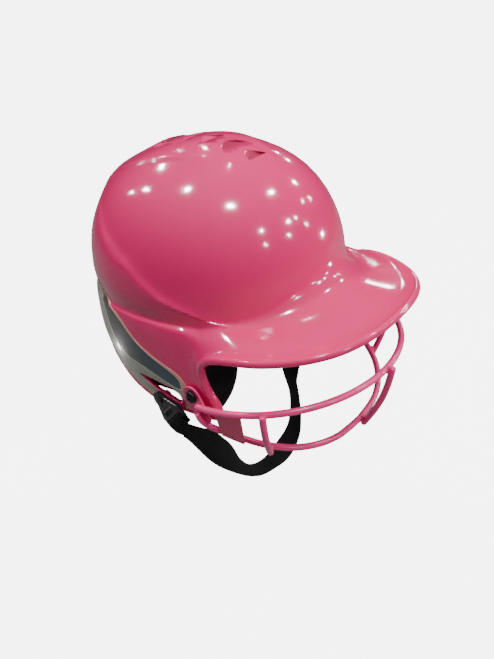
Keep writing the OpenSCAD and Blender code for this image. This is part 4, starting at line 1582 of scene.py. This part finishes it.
@dataclass(frozen=True)
class PadSize:
    """How the foam pads are refined.

    Attributes:
        levels: subdivision levels.
        crease_angle: least angle of an edge that is drawn tighter, in degrees.
        edge: crease weight of such an edge.
        fill: share of a pad's volume that is foam.
        jaw_face: x of the jaw pad's outer face, in metres.
        jaw_ends: z of the jaw pad's top and of its bottom, in metres.
        jaw_skin: depth from the outer face that is left as it is, in metres.
        jaw_powers: powers of the squarer end and of the CAD pad's own.
        fuller: how much thicker the jaw pad's upper half is.
        lining: round the thin lining behind the ear hole, y and z in millimetres.
        lining_face: x of the lining's inner face, in metres.
        lining_edge: distance outward and share of the outline for each ring of the lining.
        lining_count: points on a ring.
    """

    levels: int = 2
    crease_angle: float = 50.0
    edge: float = 0.55
    fill: float = 0.95
    jaw_face: float = 0.0965
    jaw_ends: Pair = (-0.027, -0.089)
    jaw_skin: float = 0.0035
    jaw_powers: Pair = (8.0, 2.6)
    fuller: float = 0.32
    lining: Tuple[Pair, ...] = (
        (-38.0, -66), (-34, -60.5), (-25.5, -56), (-14, -50.5), (4, -48), (20, -52), (25, -64),
        (22, -79), (13, -85.6), (-3, -85.2), (-18, -83.2), (-26, -85.2), (-29, -90),
        (-34.5, -91.4), (-38, -86))
    lining_face: float = 0.0915
    lining_edge: Tuple[Pair, ...] = ((0.0, 0.90), (0.0004, 0.955), (0.0014, 0.995),
                                     (0.0024, 1.0), (0.0049, 1.0), (0.0057, 0.975))
    lining_count: int = 84


class Pads:
    """The foam pads inside the shell."""

    NODES = ("crown_pad", "front_pad", "side_pad_right", "side_pad_left", "rear_pad",
             "ear_pad_right", "ear_pad_left", "jaw_pad_right", "jaw_pad_left")

    def __init__(self, size: PadSize, paints: Paintbox) -> None:
        """Keep the settings and the finishes."""
        self.size = size
        self.paints = paints

    def _square_up(self, bm: Solid) -> None:
        """Make a jaw pad's upper half as full as its middle.

        Args:
            bm: the pad's mesh.
        """
        size = self.size
        square, own = size.jaw_powers
        top, bottom = size.jaw_ends
        for vert in bm.verts:
            depth = size.jaw_face - abs(vert.co.x)
            share = (vert.co.z - top) / (bottom - top)
            if depth < size.jaw_skin or share > 0.8:
                continue
            t = min(abs(2 * share - 1), 0.93) if share < 0.5 else 0.0
            gain = math.sqrt((1 - t ** square) / (1 - t ** own))
            gain *= 1 + size.fuller * (1 - ramp(share, 0.45, 0.8))
            vert.co.x = math.copysign(size.jaw_face - depth * gain, vert.co.x)

    def _lining(self, side: Side) -> None:
        """Make the thin foam lining that shows through the ear hole.

        Args:
            side: which side of the head.
        """
        size, count = self.size, self.size.lining_count
        ring = [Vector((y, z, 0.0)) * MM for y, z in size.lining]
        curve = catmull(ring + ring[:1], 8)[:-1]
        middle = sum(curve, Vector()) / len(curve)
        spots = [curve[round(k * len(curve) / count) % len(curve)] - middle for k in range(count)]
        turn = Matrix(((0.0, 0.0, 1.0), (1.0, 0.0, 0.0), (0.0, 1.0, 0.0))).to_4x4()
        stations = [Matrix.Translation((size.lining_face + x, middle.x, middle.y)) @ turn
                    @ Matrix.Diagonal((grow, grow, 1.0, 1.0)) for x, grow in size.lining_edge]
        bm = sweep(stations,
                   lambda a: tuple(spots[round(a * count / (2 * math.pi)) % count].xy), count)
        flip(bm, side)
        piece = publish(bm, f"ear_lining_{side.label}_foam", self.paints.foam)

    def build(self) -> None:
        """Round the CAD pads and dress them as foam."""
        for side in Side:
            self._lining(side)
        for node in self.NODES:
            bm = merged_copy(node)
            if node.startswith("jaw"):
                self._square_up(bm)
            crease(bm, self.size.crease_angle, self.size.edge)
            piece = publish(bm, f"{node}_foam", self.paints.foam, (node,))
            subdivide(piece, self.size.levels)


@dataclass(frozen=True)
class StrapSize:
    """Sizes of the chin strap, in metres and degrees where nothing else is said.

    Attributes:
        width: width of the webbing.
        thickness: thickness of the webbing.
        stud: y and z of the snap studs.
        stud_ends: x of a stud's inner end and of its cap's underside.
        stud_stem: radius of a stud's stem.
        stud_flange: radius and thickness of a stud's inner flange.
        stud_cap: radius of a stud's cap, its straight height and its domed height.
        tilt: turn of the right and the left end piece.
        slot: distance of the end piece's slot from the stud, and how far its edge is brought
            to the webbing.
        bar: x of an end piece's bar and its distance from the stud.
        bend: radius of the webbing's bend round a bar.
        hang: centre line of the free webbing, right to left, in millimetres.
        lean: x in millimetres between which the width turns from the right tilt to the left.
        half_turn: x in millimetres between which the webbing makes its half turn.
        twist: degrees that it turns back on the left.
        sewn: distances of the sewn end's rows of thread from the start.
        hem: distances of the hem's rows from the tail's end.
        thread: half the length and the radius of one stitch.
    """

    width: float = 0.025
    thickness: float = 0.0016
    stud: Pair = (-0.008, -0.0925)
    stud_ends: Pair = (0.0946, 0.1062)
    stud_stem: float = 0.002
    stud_flange: Pair = (0.0042, 0.0011)
    stud_cap: Point = (0.0035, 0.0006, 0.0008)
    tilt: Pair = (-48.0, 13.0)
    slot: Pair = (0.0164, 0.0011)
    bar: Pair = (0.1042, 0.021)
    bend: float = 0.00265
    hang: Tuple[Point, ...] = (
        (-100.5, -36, -118), (-95.5, -36.5, -124), (-88, -34.5, -135), (-79, -30.5, -150),
        (-68, -26, -169), (-54, -20, -191), (-37, -15, -216), (-20, -11, -241),
        (-5, -11, -257), (12, -12, -265), (32, -13, -267), (52, -12, -263), (69, -10, -254),
        (82, -5, -239), (91, 2, -220), (97, 10, -203))
    lean: Pair = (-98.0, 94.0)
    half_turn: Pair = (-106.0, 22.0)
    twist: float = 35.0
    sewn: Pair = (0.0268, 0.0300)
    hem: Pair = (0.004, 0.0075)
    thread: Pair = (0.00085, 0.00028)


class Strap:
    """The chin strap with its studs, end pieces, webbing and slider."""

    def __init__(self, size: StrapSize, paints: Paintbox) -> None:
        """Keep the sizes and the finishes, and lay out the webbing's route."""
        self.size = size
        self.paints = paints
        self.path = catmull(self._route(), 6)
        self.runs = [0.0]
        for a, b in zip(self.path, self.path[1:]):
            self.runs.append(self.runs[-1] + (b - a).length)

    def _down(self, side: Side) -> Vector:
        """Return the direction from a stud to its end piece's bar."""
        tilt = math.radians(self.size.tilt[0 if side is Side.RIGHT else 1])
        return Vector((0.0, math.sin(tilt), -math.cos(tilt)))

    def _leg(self, side: Side, x: float, reach: float) -> Vector:
        """Return a point on the webbing near a stud.

        Args:
            side: which stud.
            x: distance from the head's middle plane, in metres.
            reach: distance from the stud along the end piece, in metres.

        Returns:
            The point.
        """
        return Vector((side.value * x, *self.size.stud)) + self._down(side) * reach

    def _route(self) -> List[Vector]:
        """Return the webbing's centre line, from the sewn end to the loose tail."""
        size = self.size
        x, reach = size.bar
        inner, outer = x - size.bend, x + size.bend
        eyes = {side: [self._leg(side, x + size.bend * math.cos(a), reach - size.bend * math.sin(a))
                       for a in (math.radians(turn) for turn in (180, 135, 90, 45, 0))]
                for side in Side}
        sewn = [self._leg(Side.RIGHT, inner, d) for d in (0.030, 0.026)]
        leaving = [self._leg(Side.RIGHT, outer - off, d)
                   for off, d in ((0.0002, 0.026), (0.0016, 0.031))]
        rising = [self._leg(Side.LEFT, inner, d) for d in (0.088, 0.075, 0.060, 0.045, 0.027)]
        tail = [self._leg(Side.LEFT, outer - off, d)
                for off, d in ((0.0, 0.027), (0.0, 0.045), (0.0, 0.060), (0.0, 0.075),
                               (0.0005, 0.088), (0.0015, 0.102))]
        free = [Vector(p) * MM for p in size.hang]
        return sewn + eyes[Side.RIGHT] + leaving + free + rising + eyes[Side.LEFT] + tail

    def _place(self, index: int) -> Matrix:
        """Return the place and turn of the webbing at one point of its path.

        Args:
            index: which point.

        Returns:
            A matrix whose x axis runs along the webbing's width.
        """
        size, p = self.size, self.path[index] / MM
        tilt = math.radians(lerp(*size.tilt, ramp(p.x, *size.lean)))
        level = frame_at(self.path, index, Vector((0.0, math.cos(tilt), math.sin(tilt))))
        width, tangent = level.col[0].xyz, level.col[2].xyz
        back = size.twist * ramp(p.x, 40.0, 80.0) * ramp(p.z, -187.5, -217.5)
        a = math.radians(-180 * ramp(p.x, *size.half_turn) - back)
        across = width * math.cos(a) + tangent.cross(width) * math.sin(a)
        return frame_at(self.path, index, across)

    def _outline(self, angle: float) -> Pair:
        """Return a point of the webbing's flat section with rounded edges."""
        c, s = math.cos(angle), math.sin(angle)
        return (math.copysign(abs(c) ** 0.55, c) * self.size.width / 2,
                math.copysign(abs(s) ** 0.5, s) * self.size.thickness / 2)

    def _webbing(self) -> bpy.types.Object:
        """Make the woven strap, swept along its path."""
        places = [self._place(i) for i in range(len(self.path))]
        bm = sweep(places, self._outline, 32, self.runs)
        return publish(bm, "chin_webbing", self.paints.webbing, ("webbing",), Body.STRAP)

    def _stitches(self) -> bpy.types.Object:
        """Make the rows of thread at the sewn end and at the hemmed tail."""
        size = self.size
        half, radius = size.thread
        bm = bmesh.new()
        rows = [(run, 1) for run in size.sewn]
        rows += [(self.runs[-1] - back, face) for face in (1, -1) for back in size.hem]
        for run, face in rows:
            place = self._place(min(range(len(self.runs)), key=lambda i: abs(self.runs[i] - run)))
            y = face * (size.thickness / 2 + 0.00005)
            for k in range(-4, 5):
                x = k * size.width / 10.4
                ends = [place @ Vector((x + d, y, 0.0)) for d in (-half, 0.0, half)]
                absorb(bm, tube(ends, radius, 8, 3, 1.0))
        return publish(bm, "webbing_stitches", self.paints.stitch, (), Body.STRAP)

    def _studs(self) -> None:
        """Make the two snap studs."""
        size = self.size
        (end, top), stem = size.stud_ends, size.stud_stem
        (flange, thick), (cap, straight, domed), ease = size.stud_flange, size.stud_cap, 0.0002
        profile = [(end, 0.0), (end, flange - ease), (end + ease, flange), (end + thick, flange),
                   (end + thick, stem), (top, stem), (top, cap - 0.0001),
                   (top + straight / 2, cap + 0.0001), (top + straight, cap),
                   *button(top + straight, domed, cap, 5)]
        for side in Side:
            shade_by_angle(publish(lathe(profile, size.stud, side), f"snap_stud_{side.label}",
                                   self.paints.snap, side.shared("snap_studs")))

    def _end(self, side: Side) -> None:
        """Make one end piece and bring its slot's edge to the webbing.

        Args:
            side: which side of the head.
        """
        down, (slot, shift) = self._down(side), self.size.slot
        node = f"strap_end_{side.label}"
        bm = merged_copy(node, False)
        for vert in bm.verts:
            reach = (vert.co - Vector((0.0, *self.size.stud))).dot(down)
            if abs(reach - slot) < 0.0004:
                vert.co += down * shift
        piece = publish(bm, f"snap_end_{side.label}", self.paints.snap, (node,), Body.STRAP)
        bevel_edges(piece, 0.0004)

    def build(self) -> None:
        """Make every piece of the strap."""
        self._studs()
        for side in Side:
            self._end(side)
        webbing = self._webbing()
        stitches = self._stitches()
        slider = publish(merged_copy("strap_slider", False), "slider_loop", self.paints.snap,
                         ("strap_slider",), Body.SLIDER)
        bevel_edges(slider, 0.0008, 3)


@dataclass(frozen=True)
class View:
    """The photo's viewpoint.

    Attributes:
        azimuth: turn round the object, in degrees.
        elevation: height of the camera, in degrees.
        roll: tilt of the picture, in degrees.
        distance: distance from the target, in metres.
        target: the point looked at.
        lens: focal length, in millimetres.
        sensor: the long side of the sensor, in millimetres.
        width: width of the picture, in pixels.
        height: height of the picture, in pixels.
    """

    azimuth: float = -46.97
    elevation: float = 31.67
    roll: float = -7.11
    distance: float = 0.52891
    target: Point = (-0.01752, -0.03662, -0.06047)
    lens: float = 32.566
    sensor: float = 36.0
    width: int = 494
    height: int = 659


@dataclass(frozen=True)
class CeilingLights:
    """The ceiling lights, by where the photo shows each one mirrored in the shell.

    Attributes:
        glints: x and y in the photo's pixels, and the lamp's side in metres.
        reach: distance of a lamp from the shell, in metres.
        radiance: brightness of a lamp's face.
        low: the same three for the gleam on the film, whose lamp stands low behind.
        low_reach: distance of that lamp from the film, in metres.
        low_radiance: brightness of its face.
    """

    glints: Tuple[Point, ...] = (
        (131, 192, 0.05), (146, 191, 0.08), (186, 192, 0.15), (235, 210, 0.17), (271, 189, 0.12),
        (296, 183, 0.08), (303, 203, 0.05), (311, 201, 0.05), (297, 217, 0.06), (286, 219, 0.09),
        (305, 221, 0.05), (288, 233, 0.06), (260, 235, 0.09), (268, 245, 0.06), (322, 232, 0.09),
        (163, 163, 0.07), (291, 160, 0.04), (281, 153, 0.03), (205, 146, 0.04),
        (180, 150, 0.025), (203, 156, 0.03), (232, 163, 0.035))
    reach: float = 2.4
    radiance: float = 300.0
    low: Point = (119.5, 347.0, 0.028)
    low_reach: float = 0.55
    low_radiance: float = 42.0


class Studio:
    """Camera, floor and lights."""

    FLOOR = -0.42
    BACKDROP = 6.0
    AIM = Vector((0.0, -0.02, -0.05))

    def __init__(self, view: View, ceiling: CeilingLights) -> None:
        """Keep the viewpoint and the ceiling's layout."""
        self.view = view
        self.ceiling = ceiling
        self.place = self._viewpoint()

    def _viewpoint(self) -> Matrix:
        """Return the camera's place and turn."""
        v = self.view
        a, e, roll = (math.radians(x) for x in (v.azimuth, v.elevation, v.roll))
        back = Vector((math.sin(a) * math.cos(e), -math.cos(a) * math.cos(e), math.sin(e)))
        right = Vector((math.cos(a), math.sin(a), 0.0))
        up = back.cross(right)
        c, s = math.cos(roll), math.sin(roll)
        turn = Matrix((right * c + up * s, up * c - right * s, back)).transposed().to_4x4()
        return Matrix.Translation(Vector(v.target) + back * v.distance) @ turn

    def _camera(self) -> None:
        """Place the camera where the photo was taken from."""
        data = bpy.data.cameras.new("photo view")
        data.lens, data.sensor_width = self.view.lens, self.view.sensor
        data.clip_start = 0.01
        camera = bpy.data.objects.new("photo view", data)
        camera.matrix_world = self.place
        bpy.context.scene.collection.objects.link(camera)
        bpy.context.scene.camera = camera

    def _lamp(self, name: str, spot: Vector, radiance: float, size: float) -> None:
        """Hang a square lamp that faces the helmet.

        Args:
            name: the lamp's name.
            spot: where it hangs.
            radiance: brightness of its face.
            size: its side, in metres.
        """
        data = bpy.data.lights.new(name, "AREA")
        data.energy, data.size = radiance * math.pi * size * size, size
        lamp = bpy.data.objects.new(name, data)
        turn = (self.AIM - spot).to_track_quat("-Z", "Y").to_matrix().to_4x4()
        lamp.matrix_world = Matrix.Translation(spot) @ turn
        lamp.visible_camera = False
        bpy.context.scene.collection.objects.link(lamp)

    def _ceiling(self, tree: BVHTree) -> None:
        """Hang the small ceiling lights where the shell mirrors them to the camera.

        Args:
            tree: the shell's surface.
        """
        view, ceiling = self.view, self.ceiling
        pixels = view.lens / view.sensor * view.height
        lamps = [(*glint, ceiling.reach, ceiling.radiance) for glint in ceiling.glints]
        lamps.append((*ceiling.low, ceiling.low_reach, ceiling.low_radiance))
        for number, (x, y, size, reach, radiance) in enumerate(lamps):
            ray = self.place.to_3x3() @ Vector((x - view.width / 2, view.height / 2 - y, -pixels))
            spot, normal, _, _ = tree.ray_cast(self.place.translation, ray)
            if spot is None:
                continue
            place = spot + ray.normalized().reflect(normal) * reach
            if place.z > self.FLOOR + 0.02:
                self._lamp(f"lamp {number}", place, radiance, size)

    def _seen(self, sketch: Sketch) -> Socket:
        """Return the backdrop's brightness for the camera and 0 for everything else."""
        return sketch.times(sketch.add("ShaderNodeLightPath").outputs["Is Camera Ray"],
                            self.BACKDROP)

    def _floor(self) -> None:
        """Lay the pale floor, which looks brighter than the light that it throws back."""
        bm = bmesh.new()
        bmesh.ops.create_grid(bm, x_segments=1, y_segments=1, size=40.0)
        bmesh.ops.translate(bm, verts=bm.verts, vec=(0.0, 0.0, self.FLOOR))
        mesh = bpy.data.meshes.new("floor")
        bm.to_mesh(mesh)
        bm.free()
        floor = bpy.data.objects.new("floor", mesh)
        bpy.context.scene.collection.objects.link(floor)
        material = bpy.data.materials.new("pale floor")
        material.use_nodes = True
        sketch = Sketch(material.node_tree)
        shader = material.node_tree.nodes["Principled BSDF"]
        for name, value in (("Base Color", rgb(0.22, 0.22, 0.22)), ("Roughness", 0.9),
                            ("Specular IOR Level", 0.0), ("Emission Color", rgb(1.0, 1.0, 1.0)),
                            ("Emission Strength", self._seen(sketch))):
            sketch.feed(shader.inputs[name], value)
        mesh.materials.append(material)
        floor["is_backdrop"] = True

    def _hall(self) -> None:
        """Light the helmet faintly from above, and show the camera a pale backdrop."""
        world = bpy.data.worlds.new("dim hall")
        world.use_nodes = True
        back = world.node_tree.nodes["Background"]
        s = Sketch(world.node_tree)
        split = s.add("ShaderNodeSeparateXYZ",
                      in_Vector=s.add("ShaderNodeTexCoord").outputs["Generated"])
        height = s.math("MAXIMUM", s.minus(split.outputs["Z"], 0.2), 0.0)
        glow = s.math("POWER", s.times(height, 1.25), 1.5)
        hall = s.math("MULTIPLY_ADD", glow, 0.55, 0.03)
        s.feed(back.inputs["Color"], rgb(1.0, 0.95, 0.94))
        s.feed(back.inputs["Strength"], s.math("MAXIMUM", hall, self._seen(s)))
        bpy.context.scene.world = world

    def build(self, tree: BVHTree) -> None:
        """Set up the whole studio.

        Args:
            tree: the shell's surface.
        """
        self._camera()
        self._floor()
        self._hall()
        self._ceiling(tree)


def plain(corners: object) -> object:
    """Return corner points as plain lists of numbers."""
    if hasattr(corners, "tolist"):
        return corners.tolist()
    return [plain(c) for c in corners] if hasattr(corners, "__len__") else float(corners)


def main() -> None:
    """Build the helmet piece by piece and set up the studio."""
    logging.basicConfig(level=logging.INFO, format="%(name)s: %(message)s")
    before = plain(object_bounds())
    paints = Paintbox()
    hole = EarHole()
    shell = Shell(ShellSize(), paints)
    shell.build()
    tree = shell.surface()
    for side in Side:
        Decal(side, DecalSize(), hole, paints).build(tree)
    Cage(CageSize(), paints).build()
    for side in Side:
        Clip(side, ClipSize(), paints).build()
    Pads(PadSize(), paints).build()
    Strap(StrapSize(), paints).build()
    Studio(View(), CeilingLights()).build(tree)
    after = plain(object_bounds())
    LOG.info("bounds before %s, after %s", before, after)


if __name__ == "__main__":
    main()
